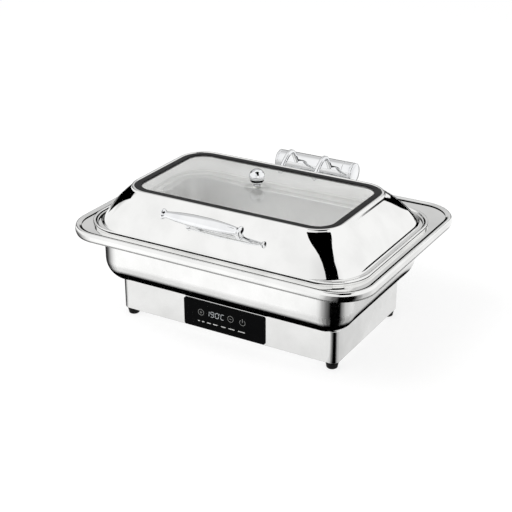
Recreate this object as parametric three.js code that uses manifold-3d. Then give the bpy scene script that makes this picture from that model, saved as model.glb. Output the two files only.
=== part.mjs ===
// Electric chafing dish: heated base, rectangular water pan and rim, lift-out food pan,
// and a domed lid with a glass window that turns on a damped barrel hinge at the back.
// Millimetres, X to the right, Y to the back, Z up, standing on Z = 0 and centred on the rim.
import * as THREE from 'three';
import { mergeVertices } from 'three/addons/utils/BufferGeometryUtils.js';
import Module from 'manifold-3d';

const wasm = await Module();
wasm.setup();

// Counts and angles
const cornerSteps = 5;
const barrelSteps = 28;
const roundSteps = 18;
const smallSteps = 10;
const quarterTurn = Math.PI / 2;

// Shared clearances and sheets
const clearance = 0.3;
const overrun = 5;
const leastCorner = 2;
const mergeWithin = 0.0001;
const housingSheet = 1.5;
const bodySheet = 1.2;
const panSheet = 1;
const boardSheet = 1.6;

// Plan sizes, which all follow from the rim: end is along the length, side along the depth
const panCentreY = -17;
const rimHalfLength = 315;
const rimHalfDepth = 234;
const basinEndInset = 46;
const basinSideInset = 56;
const housingEndInset = 30.5;
const housingSideInset = 41.5;
const plateEndInset = 83.5;
const plateSideInset = 46.5;
const foodPanEndInset = 4;
const foodPanSideInset = 15.5;
const ledgeEndMargin = 7;
const ledgeSideMargin = 7.5;
const openingInset = 9;
const lidEndInset = 20.5;
const lidSideInset = 37;
const domeBaseEndInset = 17.5;
const domeBaseSideInset = 10.5;
const windowEndInset = 57.5;
const windowSideInset = 62.3;
const basinHalfLength = rimHalfLength - basinEndInset;
const basinHalfDepth = rimHalfDepth - basinSideInset;
const housingHalfLength = basinHalfLength - housingEndInset;
const housingHalfDepth = basinHalfDepth - housingSideInset;
const plateHalfLength = housingHalfLength - plateEndInset;
const plateHalfDepth = housingHalfDepth - plateSideInset;
const foodPanHalfLength = basinHalfLength - foodPanEndInset;
const foodPanHalfDepth = basinHalfDepth - foodPanSideInset;
const ledgeOuterHalfLength = foodPanHalfLength + ledgeEndMargin;
const ledgeOuterHalfDepth = foodPanHalfDepth + ledgeSideMargin;
const openingHalfLength = foodPanHalfLength - openingInset;
const openingHalfDepth = foodPanHalfDepth - openingInset;
const lidHalfLength = rimHalfLength - lidEndInset;
const lidHalfDepth = rimHalfDepth - lidSideInset;
const domeBaseHalfLength = lidHalfLength - domeBaseEndInset;
const domeBaseHalfDepth = lidHalfDepth - domeBaseSideInset;
const windowHalfLength = domeBaseHalfLength - windowEndInset;
const windowHalfDepth = domeBaseHalfDepth - windowSideInset;

// Base housing and its bottom plate
const housingCorner = 14;
const housingHeight = 65.7;
const housingEdge = 2.4;
const housingBottomFlange = 12;
const bottomPlateSheet = 1.4;
const bottomPlateInset = 4;
const bossRadius = 5;
const bossHeight = 9;
const ventSlotHalfLength = 22;
const ventSlotHalfWidth = 2.5;
const ventSlotPitch = 14;
const ventSlotCount = 5;
const ventCentreX = 70;

// Feet
const footHeight = 13;
const footTopRadius = 12.5;
const footBottomRadius = 10;
const footEdge = 1.2;
const footInset = 15.5;
const footRecessRadius = 6;
const footRecessDepth = 5;

// Metric fasteners: shank radius, head radius and head height
const m3Shank = 1.5;
const m4Shank = 2;
const m4Head = 3.8;
const m4HeadHeight = 2.6;
const m5Shank = 2.5;
const m5Head = 4.4;
const m5HeadHeight = 3;

// Control fascia, display and boards
const fasciaHalfLength = 90;
const fasciaHeight = 57.6;
const fasciaSill = 2.2;
const fasciaThickness = 2.5;
const fasciaCorner = 4;
const fasciaEdge = 0.8;
const fasciaCutMargin = 9;
const fasciaPostRadius = 3;
const fasciaPostInset = 16;
const fasciaPostPeg = 3;
const displayGap = 5.5;
const displayHalfLength = 27;
const displayHeight = 17;
const displayCentreX = -15;
const displayDepth = 4;
const displayBoardMargin = 11;
const mainBoardHalfWidth = 25;
const mainBoardEndGap = 39.5;
const mainBoardSideGap = 51.5;
const mainBoardShift = 8;
const mainBoardHalfLength = housingHalfDepth - mainBoardSideGap;
const mainBoardCentreX = mainBoardEndGap - housingHalfLength;
const mainBoardCentreY = panCentreY - mainBoardShift;
const mainBoardInset = 6;
const transformerSize = 26;
const terminalBlockLength = 34;
const terminalBlockHeight = 11;

// Heater under the water pan
const plateThickness = 8;
const plateCorner = 12;
const heaterOpeningMargin = 3;
const elementRadius = 4;
const elementPassCount = 4;
const elementEdgeGap = 30;
const elementPassPitch = 2 * (plateHalfDepth - elementEdgeGap) / (elementPassCount - 1);
const elementTurnInset = 37;
const elementExitReach = 23;
const elementTurnX = plateHalfLength - elementTurnInset;
const elementExitX = plateHalfLength + elementExitReach;
const quarterBendShare = 0.5523;
const elementSteps = 32;
const elementSides = 4;
const insulationThickness = 4;
const traySheet = 1;
const trayMargin = 7;
const trayFlange = 9;
const trayCorner = 16;
const ceramicRadius = 6.5;
const ceramicLength = 10;
const pinRadius = 1.8;
const pinLength = 9;
const probeRadius = 6;
const probeLength = 11;
const probeStemRadius = 2.5;
const probeX = 20;
const cutoutRadius = 8;
const cutoutHeight = 9;
const cutoutX = -60;

// Mains inlet at the back
const inletEndGap = 88.5;
const inletX = housingHalfLength - inletEndGap;
const inletHeight = 32;
const inletFlangeHalfLength = 26;
const inletFlangeHalfHeight = 14;
const inletFlangeThickness = 3;
const inletBodyHalfLength = 14;
const inletBodyHalfHeight = 10.5;
const inletBodyDepth = 24;
const inletWall = 2;
const inletPinSpan = 7;
const inletPinRise = 3;
const inletPinWidth = 4;
const inletPinThickness = 2;
const inletPinLength = 15;
const leadRadius = 3;
const wireRadius = 1.5;
const wireSteps = 12;
const wireSides = 3;
const wireDrop = 10;

// Water pan: the deep drawn basin
const basinCorner = 52;
const basinFloorRadius = 48;
const basinHeight = 114.1;
const basinTopFlange = 11;
const basinBossRadius = 5;
const basinBossLength = 14;
const basinBoltReach = 9;

// Rim frame around the basin
const rimCorner = 72;
const rimEdgeOut = 3.2;
const rimEdgeDrop = 17.4;
const rimBeadHeight = 2.1;
const rimBeadWidth = 9;
const ledgeDrop = 2.7;
const ledgeCorner = 58;
const openingCorner = 44;
const openingLip = 8;

// Food pan, a full-size gastronorm pan 65 deep
const foodPanCorner = 52;
const foodPanFlange = 12;
const foodPanBead = 2.4;
const foodPanBeadLeanShare = -0.6;
const foodPanDepth = 65;
const foodPanTaper = 9;
const foodPanFloorRadius = 13;

// Lid: hem, dome and window seat
const lidCorner = 80;
const lidBeadHeight = 7;
const domeBaseCentreY = -18.5;
const domeBaseCorner = 81;
const domeBaseRise = 8.4;
const domeTopRise = 70.4;
const domeBulge = 4;
const domeLeanShare = 0.38;
const wallStepShare = 0.05;
const windowCentreY = -28.8;
const windowCorner = 48;
const crestWidth = 7.5;
const crestRise = 4.6;
const domeTopCorner = 56;
const seatDrop = 4;
const seatWidth = 12;

// Glass and gasket
const glassInset = 7.5;
const glassThickness = 4;
const glassCrown = 5;
const glassSeatRise = 2;
const gasketWidth = 13;
const gasketHeight = 7.4;

// Ball knob
const ballRadius = 15.2;
const ballRise = 19.6;
const knobNeckRadius = 6;
const knobSkirtRadius = 8;
const knobSkirtHeight = 1.4;
const knobWasherThickness = 1;
const knobWasherRadius = 8;
const knobScrewReach = 14;

// Handle on the lid's front wall
const gripHalfLength = 84.6;
const gripRadius = 11.6;
const gripStandoff = 50;
const handleWallShare = 0.47;
const postX = 55;
const postRadius = 4.5;
const postSkirtRadius = 7;
const postSkirtHeight = 2;
const postSink = 4;
const handleScrewReach = 14;

// Barrel hinge
const hingeInset = 18;
const hingeY = rimHalfDepth - hingeInset;
const hingeRise = 39.7;
const barrelRadius = 21;
const barrelWall = 2.5;
const barrelHalfLength = 64.8;
const collarLength = 21.4;
const collarGroove = 0.6;
const capThickness = 3;
const capChamfer = 1;
const capPlug = 9;
const shaftRadius = 6;
const shaftEndGap = 1.5;
const bushLength = 12;
const damperHalfLength = 26;
const damperWall = 4;
const damperEndWall = 3;
const rotorHubRadius = 9.5;
const rotorVaneWidth = 4;
const standFootDepth = 23;
const standNeckHalfDepth = 10;
const standFootHeight = 5;
const standScrewReach = 12;
const backingPlateSheet = 2;
const backingPlateMargin = 12;

// Hinge arms
const armX = 38.6;
const armWidth = 9;
const armThickness = 7.6;
const armWallShare = 0.42;
const armRise = 30.5;
const armSteps = 20;
const armBoltReach = 9;
const domeHeadRadius = 5.5;

// Levels that follow from the stack of pieces
const bottomPlateZ = footHeight + clearance;
const housingZ = bottomPlateZ + bottomPlateSheet + clearance;
const housingTopZ = housingZ + housingHeight;
const basinZ = housingTopZ + clearance;
const basinTopZ = basinZ + basinHeight;
const ledgeZ = basinTopZ + clearance + bodySheet;
const rimFlatZ = ledgeZ + ledgeDrop;
const lidHemZ = rimFlatZ + clearance;
const domeBaseZ = lidHemZ + domeBaseRise;
const domeTopZ = lidHemZ + domeTopRise;
const seatZ = domeTopZ - seatDrop;
const glassZ = seatZ + glassSeatRise;
const glassCentreTopZ = glassZ + glassThickness + glassCrown;
const hingeZ = rimFlatZ + hingeRise;

// Finishes
const polishedSteel = { color: 0xe6e8ea, metalness: 1, roughness: 0.08 };
const satinSteel = { color: 0xc9cbcd, metalness: 1, roughness: 0.34 };
const zincSteel = { color: 0xb9bcc0, metalness: 1, roughness: 0.42 };
const chrome = { color: 0xf0f1f2, metalness: 1, roughness: 0.05 };
const blackRubber = { color: 0x141414, metalness: 0, roughness: 0.78 };
const clearGlass = { color: 0xeef3f2, metalness: 0, roughness: 0.03 };
const smokedPlastic = { color: 0x0a0a0c, metalness: 0, roughness: 0.08 };
const blackPlastic = { color: 0x1a1a1a, metalness: 0, roughness: 0.5 };
const boardGreen = { color: 0x1f5b38, metalness: 0, roughness: 0.45 };
const castAluminium = { color: 0xa9acae, metalness: 1, roughness: 0.5 };
const darkSheath = { color: 0x4a4643, metalness: 1, roughness: 0.55 };
const ceramicWhite = { color: 0xe9e4d8, metalness: 0, roughness: 0.6 };
const clearSilicone = { color: 0xd9d9d4, metalness: 0, roughness: 0.5 };
const bronze = { color: 0xa8753a, metalness: 1, roughness: 0.4 };
const wireRed = { color: 0x9c2a22, metalness: 0, roughness: 0.6 };

const dish = new THREE.Group();

// Adds one named piece to the dish
function piece(name, geometry, finish, x = 0, y = 0, z = 0) {
  const mesh = new THREE.Mesh(outward(geometry), new THREE.MeshStandardMaterial(finish));
  mesh.name = name;
  mesh.position.set(x, y, z);
  dish.add(mesh);
  return mesh;
}

// Merges a geometry's shared vertices, drops empty faces and turns its faces outward
function outward(geometry) {
  const bare = geometry.clone();
  for (const key of Object.keys(bare.attributes)) {
    if (key !== 'position') bare.deleteAttribute(key);
  }
  const merged = mergeVertices(bare, mergeWithin);
  const p = merged.attributes.position;
  const faces = [];
  let volume = 0;
  const corner = [new THREE.Vector3(), new THREE.Vector3(), new THREE.Vector3()];
  for (let i = 0; i < merged.index.count; i += 3) {
    const ids = [0, 1, 2].map((k) => merged.index.getX(i + k));
    if (ids[0] === ids[1] || ids[1] === ids[2] || ids[2] === ids[0]) continue;
    ids.forEach((id, k) => corner[k].fromBufferAttribute(p, id));
    volume += corner[0].dot(corner[1].clone().cross(corner[2]));
    faces.push(ids);
  }
  merged.setIndex(faces.flatMap((f) => (volume < 0 ? [f[0], f[2], f[1]] : f)));
  merged.computeVertexNormals();
  return merged;
}

// Turns a geometry into a solid for cutting and joining
function solid(geometry) {
  const closed = outward(geometry);
  return new wasm.Manifold(new wasm.Mesh({
    numProp: 3,
    vertProperties: new Float32Array(closed.attributes.position.array),
    triVerts: new Uint32Array(closed.index.array),
  }));
}

// Turns a cut solid back into a geometry
function shapeOf(cut) {
  const mesh = cut.getMesh();
  const points = [];
  for (let i = 0; i < mesh.vertProperties.length; i += mesh.numProp) {
    points.push(...mesh.vertProperties.slice(i, i + 3));
  }
  const geometry = new THREE.BufferGeometry();
  geometry.setAttribute('position', new THREE.Float32BufferAttribute(points, 3));
  geometry.setIndex([...mesh.triVerts]);
  return geometry;
}

// Cuts every tool out of a body
function cutOut(body, tools) {
  return shapeOf(tools.reduce((left, tool) => left.subtract(solid(tool)), solid(body)));
}

// Joins several overlapping bodies into one
function joined(bodies) {
  return shapeOf(bodies.slice(1).reduce((sum, body) => sum.add(solid(body)), solid(bodies[0])));
}

// A rounded rectangle seen from above
function plan(halfLength, halfDepth, centreY, corner) {
  return { halfLength, halfDepth, centreY, corner };
}

// The same rounded rectangle, larger or smaller all round
function grow(base, out) {
  const corner = Math.max(base.corner + out, leastCorner);
  return plan(base.halfLength + out, base.halfDepth + out, base.centreY, corner);
}

// A rounded rectangle part of the way from one to another
function blend(from, to, share) {
  const mix = (a, b) => a + (b - a) * share;
  return plan(
    mix(from.halfLength, to.halfLength),
    mix(from.halfDepth, to.halfDepth),
    mix(from.centreY, to.centreY),
    mix(from.corner, to.corner),
  );
}

// The points of a rounded rectangle at one height
function ring(base, z) {
  const points = [];
  const signs = [[1, 1], [-1, 1], [-1, -1], [1, -1]];
  signs.forEach(([sx, sy], quarter) => {
    const cx = sx * (base.halfLength - base.corner);
    const cy = base.centreY + sy * (base.halfDepth - base.corner);
    for (let k = 0; k <= cornerSteps; k += 1) {
      const angle = (quarter + k / cornerSteps) * quarterTurn;
      points.push([cx + base.corner * Math.cos(angle), cy + base.corner * Math.sin(angle), z]);
    }
  });
  return points;
}

// A skin over a row of rings, closed by flat ends or back onto its first ring
function loft(rings, closesOnItself) {
  const count = rings[0].length;
  const points = rings.flat();
  const faces = [];
  const bands = closesOnItself ? rings.length : rings.length - 1;
  for (let r = 0; r < bands; r += 1) {
    const here = r * count;
    const next = ((r + 1) % rings.length) * count;
    for (let k = 0; k < count; k += 1) {
      const after = (k + 1) % count;
      faces.push(here + k, here + after, next + after, here + k, next + after, next + k);
    }
  }
  if (!closesOnItself) {
    [0, rings.length - 1].forEach((r, side) => {
      const middle = [0, 1, 2].map((axis) => rings[r].reduce((sum, p) => sum + p[axis], 0) / count);
      points.push(middle);
      for (let k = 0; k < count; k += 1) {
        const pair = [r * count + k, r * count + ((k + 1) % count)];
        faces.push(points.length - 1, ...(side === 0 ? pair.reverse() : pair));
      }
    });
  }
  const geometry = new THREE.BufferGeometry();
  geometry.setAttribute('position', new THREE.Float32BufferAttribute(points.flat(), 3));
  geometry.setIndex(faces);
  return geometry;
}

// Pressed sheet: its face follows stations of plan, height and lean of the face in quarter turns
// from level outward; the back lies one sheet behind it
function pressed(stations, sheet, hasFloor) {
  const face = stations.map(([base, z]) => ring(base, z));
  const back = stations.map(([base, z, lean]) => {
    const angle = lean * quarterTurn;
    return ring(grow(base, -sheet * Math.cos(angle)), z - sheet * Math.sin(angle));
  });
  return loft([...face, ...back.reverse()], !hasFloor);
}

// A solid turned about Z from radius and height pairs, on the axis or closed on itself
function turned(pairs, steps = roundSteps) {
  const profile = pairs.map(([radius, height]) => new THREE.Vector2(radius, height));
  return new THREE.LatheGeometry(profile, steps).rotateX(quarterTurn);
}

// A rod along Z from one height to another
function rod(radius, from, to, steps = smallSteps) {
  return turned([[0, from], [radius, from], [radius, to], [0, to]], steps);
}

// A tube along Z from one height to another
function tube(outer, inner, from, to, steps = roundSteps) {
  return turned([[inner, from], [outer, from], [outer, to], [inner, to], [inner, from]], steps);
}

// A box between two corners
function block(x0, x1, y0, y1, z0, z1) {
  const box = new THREE.BoxGeometry(x1 - x0, y1 - y0, z1 - z0);
  return box.translate((x0 + x1) / 2, (y0 + y1) / 2, (z0 + z1) / 2);
}

// A rounded rectangle as an outline, for plates that are extruded
function roundedOutline(halfWidth, halfHeight, corner) {
  const outline = new THREE.Shape();
  outline.moveTo(halfWidth, corner - halfHeight);
  outline.absarc(halfWidth - corner, halfHeight - corner, corner, 0, quarterTurn, false);
  outline.absarc(corner - halfWidth, halfHeight - corner, corner, quarterTurn, 2 * quarterTurn, false);
  outline.absarc(corner - halfWidth, corner - halfHeight, corner, 2 * quarterTurn, 3 * quarterTurn, false);
  outline.absarc(halfWidth - corner, corner - halfHeight, corner, 3 * quarterTurn, 4 * quarterTurn, false);
  return outline;
}

// A screw standing on its head: the head below zero, the shank above it
function screw(shank, head, headHeight, reach) {
  const edge = headHeight / 4;
  return turned([
    [0, -headHeight], [head - edge, -headHeight], [head, edge - headHeight], [head, 0],
    [shank, 0], [shank, reach], [0, reach],
  ], smallSteps);
}

// A screw with a domed head, standing the same way
function domedScrew(shank, head, reach) {
  const profile = [[0, -head]];
  const arcShares = [0.3, 0.6, 0.85];
  arcShares.forEach((share) => {
    profile.push([head * Math.sin(share * quarterTurn), -head * Math.cos(share * quarterTurn)]);
  });
  return turned([...profile, [head, 0], [shank, 0], [shank, reach], [0, reach]], smallSteps);
}

// Four places, mirrored left to right and front to back about the pan's centre
function fourPlaces(x, y, z) {
  return [[x, panCentreY + y, z], [-x, panCentreY + y, z], [x, panCentreY - y, z], [-x, panCentreY - y, z]];
}

// Plans that several pieces share
const housingPlan = plan(housingHalfLength, housingHalfDepth, panCentreY, housingCorner);
const platePlan = plan(plateHalfLength, plateHalfDepth, panCentreY, plateCorner);
const trayPlan = plan(
  plateHalfLength + trayMargin, plateHalfDepth + trayMargin, panCentreY, trayCorner,
);
const basinPlan = plan(basinHalfLength, basinHalfDepth, panCentreY, basinCorner);
const rimPlan = plan(rimHalfLength, rimHalfDepth, 0, rimCorner);
const ledgePlan = plan(ledgeOuterHalfLength, ledgeOuterHalfDepth, panCentreY, ledgeCorner);
const openingPlan = plan(openingHalfLength, openingHalfDepth, panCentreY, openingCorner);
const foodPanPlan = plan(foodPanHalfLength, foodPanHalfDepth, panCentreY, foodPanCorner);
const lidPlan = plan(lidHalfLength, lidHalfDepth, panCentreY, lidCorner);
const domeBasePlan = plan(
  domeBaseHalfLength, domeBaseHalfDepth, domeBaseCentreY, domeBaseCorner,
);
const domeTopPlan = plan(
  windowHalfLength + crestWidth, windowHalfDepth + crestWidth, windowCentreY, domeTopCorner,
);
const windowPlan = plan(windowHalfLength, windowHalfDepth, windowCentreY, windowCorner);

// Base housing: a drawn cover with an open top for the heater
const heaterOpening = grow(platePlan, heaterOpeningMargin);
const fasciaFaceY = panCentreY - housingHalfDepth;
const fasciaBottomZ = housingZ + fasciaSill;
const fasciaCentreZ = fasciaBottomZ + fasciaHeight / 2;
const fasciaCutHalfLength = fasciaHalfLength - fasciaCutMargin;
const fasciaCutHalfHeight = fasciaHeight / 2 - fasciaCutMargin;
const inletZ = housingZ + inletHeight;
const backWallY = panCentreY + housingHalfDepth;
const footPlaces = fourPlaces(housingHalfLength - footInset, housingHalfDepth - footInset, 0);

function housingShell() {
  const edgeShares = [[0, 1], [0.3, 0.3], [1, 0]];
  const stations = [
    [grow(housingPlan, -housingBottomFlange), housingZ, -1],
    [grow(housingPlan, -housingSheet), housingZ, -1],
    [housingPlan, housingZ + housingSheet, 0],
  ];
  edgeShares.forEach(([inShare, dropShare], k) => {
    stations.push([
      grow(housingPlan, -housingEdge * inShare), housingTopZ - housingEdge * dropShare, k / 2,
    ]);
  });
  stations.push([heaterOpening, housingTopZ, 1]);
  const cuts = [
    block(
      -fasciaCutHalfLength, fasciaCutHalfLength, fasciaFaceY - overrun, fasciaFaceY + overrun,
      fasciaCentreZ - fasciaCutHalfHeight, fasciaCentreZ + fasciaCutHalfHeight,
    ),
    block(
      inletX - inletBodyHalfLength - clearance, inletX + inletBodyHalfLength + clearance,
      backWallY - overrun, backWallY + overrun,
      inletZ - inletBodyHalfHeight - clearance, inletZ + inletBodyHalfHeight + clearance,
    ),
  ];
  footPlaces.forEach(([x, y]) => {
    cuts.push(rod(basinBossRadius + clearance, -overrun, overrun).translate(x, y, housingTopZ));
  });
  return cutOut(pressed(stations, housingSheet, false), cuts);
}
piece('base_housing', housingShell(), polishedSteel);

// Bottom plate with vent slots and four pressed-in bosses for the control board
const mainBoardX = mainBoardHalfWidth - mainBoardInset;
const mainBoardY = mainBoardHalfLength - mainBoardInset;
const mainBoardPlaces = [[1, 1], [-1, 1], [1, -1], [-1, -1]].map(([sx, sy]) => (
  [mainBoardCentreX + sx * mainBoardX, mainBoardCentreY + sy * mainBoardY]
));

function bottomPlate() {
  const base = grow(housingPlan, -bottomPlateInset);
  const top = bottomPlateZ + bottomPlateSheet;
  const plate = loft([ring(base, bottomPlateZ), ring(base, top)], false);
  const bosses = mainBoardPlaces.map(([x, y]) => (
    rod(bossRadius, bottomPlateZ + bottomPlateSheet / 2, top + bossHeight, smallSteps).translate(x, y, 0)
  ));
  const body = joined([plate, ...bosses]);
  const cuts = [];
  mainBoardPlaces.forEach(([x, y]) => {
    cuts.push(rod(m3Shank + clearance, -overrun, overrun + bossHeight + overrun)
      .translate(x, y, bottomPlateZ));
  });
  footPlaces.forEach(([x, y]) => {
    cuts.push(rod(m5Shank + clearance, -overrun, overrun).translate(x, y, bottomPlateZ));
  });
  for (let k = 0; k < ventSlotCount; k += 1) {
    const y = panCentreY + (k - (ventSlotCount - 1) / 2) * ventSlotPitch;
    [-ventCentreX, ventCentreX].forEach((x) => {
      cuts.push(block(
        x - ventSlotHalfLength, x + ventSlotHalfLength, y - ventSlotHalfWidth, y + ventSlotHalfWidth,
        bottomPlateZ - overrun, bottomPlateZ + overrun,
      ));
    });
  }
  return cutOut(body, cuts);
}
piece('bottom_plate', bottomPlate(), zincSteel);

// Feet, each held by a long bolt that also ties plate, housing and water pan together
const footBore = m5Shank + clearance;
const footProfile = [
  [footBore, footHeight], [footTopRadius - footEdge, footHeight],
  [footTopRadius, footHeight - footEdge], [footBottomRadius + footEdge / 2, footEdge],
  [footBottomRadius - footEdge / 2, 0], [footRecessRadius, 0],
  [footRecessRadius, footRecessDepth], [footBore, footRecessDepth], [footBore, footHeight],
];
const footNames = ['foot_back_right', 'foot_back_left', 'foot_front_right', 'foot_front_left'];
footNames.forEach((name, k) => {
  piece(name, turned(footProfile), blackRubber, ...footPlaces[k]);
});
const footBoltZ = footRecessDepth - clearance;
const basinBossZ = basinZ - basinBossLength;
const footBolt = screw(m5Shank, m5Head, m5HeadHeight, basinBossZ + basinBoltReach - footBoltZ);
footNames.forEach((name, k) => {
  const [x, y] = footPlaces[k];
  piece(name.replace('foot', 'foot_bolt'), footBolt, zincSteel, x, y, footBoltZ);
});

// Control fascia with pegged posts that carry the display board through the housing
const postPlaces = [];
[-1, 1].forEach((sx) => {
  [-1, 1].forEach((sz) => {
    postPlaces.push([
      sx * (fasciaHalfLength - fasciaPostInset), fasciaCentreZ + sz * (fasciaHeight / 2 - fasciaPostInset),
    ]);
  });
});
const fasciaBackY = fasciaFaceY - clearance;
const displayBoardY = fasciaBackY + displayGap + clearance;

function fascia() {
  const outline = roundedOutline(fasciaHalfLength - fasciaEdge, fasciaHeight / 2 - fasciaEdge, fasciaCorner);
  const plate = new THREE.ExtrudeGeometry(outline, {
    depth: fasciaThickness - 2 * fasciaEdge,
    bevelThickness: fasciaEdge,
    bevelSize: fasciaEdge,
    bevelSegments: 1,
    curveSegments: 3,
  });
  plate.rotateX(quarterTurn).translate(0, fasciaBackY - fasciaEdge, fasciaCentreZ);
  const posts = postPlaces.flatMap(([x, z]) => [
    [fasciaPostRadius, displayGap], [m3Shank, displayGap + boardSheet + fasciaPostPeg],
  ].map(([radius, reach]) => (
    rod(radius, -reach, fasciaEdge).rotateX(quarterTurn).translate(x, fasciaBackY, z)
  )));
  return joined([plate, ...posts]);
}
piece('control_fascia', fascia(), smokedPlastic);

// Display board on the posts' pegs and the digit display in front of it
const displayBoardHalfLength = fasciaHalfLength - displayBoardMargin;
const displayBoardHalfHeight = fasciaHeight / 2 - displayBoardMargin;
const displayBoardHoles = postPlaces.map(([x, z]) => (
  rod(m3Shank + clearance, -overrun, overrun).rotateX(quarterTurn).translate(x, displayBoardY, z)
));
const displayBoard = block(
  -displayBoardHalfLength, displayBoardHalfLength, displayBoardY, displayBoardY + boardSheet,
  fasciaCentreZ - displayBoardHalfHeight, fasciaCentreZ + displayBoardHalfHeight,
);
piece('display_board', cutOut(displayBoard, displayBoardHoles), boardGreen);
const digitDisplay = block(
  displayCentreX - displayHalfLength, displayCentreX + displayHalfLength,
  displayBoardY - clearance - displayDepth, displayBoardY - clearance,
  fasciaCentreZ - displayHeight / 2, fasciaCentreZ + displayHeight / 2,
);
piece('digit_display', digitDisplay, blackPlastic);

// Main control board on the plate's bosses, with its larger parts
const mainBoardZ = bottomPlateZ + bottomPlateSheet + bossHeight + clearance;
const mainBoard = block(
  mainBoardCentreX - mainBoardHalfWidth, mainBoardCentreX + mainBoardHalfWidth,
  mainBoardCentreY - mainBoardHalfLength, mainBoardCentreY + mainBoardHalfLength,
  mainBoardZ, mainBoardZ + boardSheet,
);
const mainBoardHoles = mainBoardPlaces.map(([x, y]) => (
  rod(m3Shank + clearance, -overrun, overrun).translate(x, y, mainBoardZ)
));
piece('control_board', cutOut(mainBoard, mainBoardHoles), boardGreen);
const boardPartsZ = mainBoardZ + boardSheet + clearance;
const transformerShare = -0.55;
const transformerY = mainBoardCentreY + transformerShare * mainBoardHalfLength;
const terminalY = mainBoardCentreY + mainBoardHalfLength - 2 * mainBoardInset - terminalBlockLength;
piece('board_transformer', block(
  mainBoardCentreX - transformerSize / 2, mainBoardCentreX + transformerSize / 2,
  transformerY - transformerSize / 2, transformerY + transformerSize / 2,
  boardPartsZ, boardPartsZ + transformerSize,
), blackPlastic);
piece('terminal_block', block(
  mainBoardCentreX - terminalBlockHeight, mainBoardCentreX + terminalBlockHeight,
  terminalY, terminalY + terminalBlockLength, boardPartsZ, boardPartsZ + terminalBlockHeight,
), ceramicWhite);

// Heater: plate, sheathed element, insulation and the tray that holds them up
const plateTopZ = housingTopZ;
const plateZ = plateTopZ - plateThickness;
const elementZ = plateZ - clearance - elementRadius;
const insulationTopZ = elementZ - elementRadius - clearance;
const trayFloorZ = insulationTopZ - insulationThickness - clearance - traySheet;
const trayTopZ = housingTopZ - housingSheet - clearance;
piece('heating_plate', loft([ring(platePlan, plateZ), ring(platePlan, plateTopZ)], false), castAluminium);

// Sheathed element: straight passes joined by half turns, both ends out to the right
const passY = (k) => panCentreY + (k - (elementPassCount - 1) / 2) * elementPassPitch;

function elementPath() {
  const path = new THREE.CurvePath();
  const turn = elementPassPitch / 2;
  for (let k = 0; k < elementPassCount; k += 1) {
    const goesLeft = k % 2 === 0;
    const from = k === 0 ? elementExitX : (goesLeft ? elementTurnX : -elementTurnX);
    const to = k === elementPassCount - 1 ? elementExitX : (goesLeft ? -elementTurnX : elementTurnX);
    path.add(new THREE.LineCurve3(
      new THREE.Vector3(from, passY(k), elementZ), new THREE.Vector3(to, passY(k), elementZ),
    ));
    if (k === elementPassCount - 1) break;
    const side = goesLeft ? -1 : 1;
    const middle = new THREE.Vector3(to + side * turn, passY(k) + turn, elementZ);
    const bend = turn * quarterBendShare;
    path.add(new THREE.CubicBezierCurve3(
      new THREE.Vector3(to, passY(k), elementZ), new THREE.Vector3(to + side * bend, passY(k), elementZ),
      new THREE.Vector3(middle.x, middle.y - bend, elementZ), middle,
    ));
    path.add(new THREE.CubicBezierCurve3(
      middle, new THREE.Vector3(middle.x, middle.y + bend, elementZ),
      new THREE.Vector3(to + side * bend, passY(k + 1), elementZ),
      new THREE.Vector3(to, passY(k + 1), elementZ),
    ));
  }
  return path;
}

// A round tube or wire swept along a path
function swept(path, radius, sides, steps) {
  const section = new THREE.Shape();
  section.absarc(0, 0, radius, 0, 2 * Math.PI, false);
  return new THREE.ExtrudeGeometry(section, {
    steps, bevelEnabled: false, extrudePath: path, curveSegments: sides,
  });
}

function heatingElement() {
  const pins = [0, elementPassCount - 1].map((k) => (
    rod(pinRadius, elementExitX - overrun, elementExitX + ceramicLength + pinLength)
      .rotateY(quarterTurn).translate(0, passY(k), elementZ)
  ));
  return joined([swept(elementPath(), elementRadius, elementSides, elementSteps), ...pins]);
}
piece('heating_element', heatingElement(), darkSheath);

const probeHole = rod(probeStemRadius + clearance, -overrun, overrun + insulationThickness);
const insulationBase = grow(trayPlan, -traySheet - leastCorner);
const insulation = loft([
  ring(insulationBase, insulationTopZ - insulationThickness), ring(insulationBase, insulationTopZ),
], false);
piece('insulation_board', cutOut(insulation, [
  probeHole.clone().translate(probeX, panCentreY, insulationTopZ - insulationThickness),
]), ceramicWhite);

function heaterTray() {
  const stations = [
    [grow(trayPlan, -leastCorner), trayFloorZ, -1],
    [trayPlan, trayFloorZ + leastCorner, 0],
    [trayPlan, trayTopZ - 2 * traySheet, 0],
    [grow(trayPlan, traySheet), trayTopZ - traySheet, -1],
    [grow(trayPlan, trayFlange), trayTopZ - traySheet, -1],
  ];
  const cuts = [0, elementPassCount - 1].map((k) => (
    rod(elementRadius + clearance, 0, elementExitX).rotateY(quarterTurn).translate(0, passY(k), elementZ)
  ));
  cuts.push(probeHole.clone().translate(probeX, panCentreY, trayFloorZ - overrun / 2));
  return cutOut(pressed(stations, traySheet, true), cuts);
}
piece('heater_tray', heaterTray(), zincSteel);
const ceramicBead = tube(ceramicRadius, pinRadius + clearance, 0, ceramicLength, smallSteps);
[['front', 0], ['back', elementPassCount - 1]].forEach(([name, k]) => {
  const bead = ceramicBead.clone().rotateY(quarterTurn);
  piece(`element_bead_${name}`, bead, ceramicWhite, elementExitX + clearance, passY(k), elementZ);
});

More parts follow.
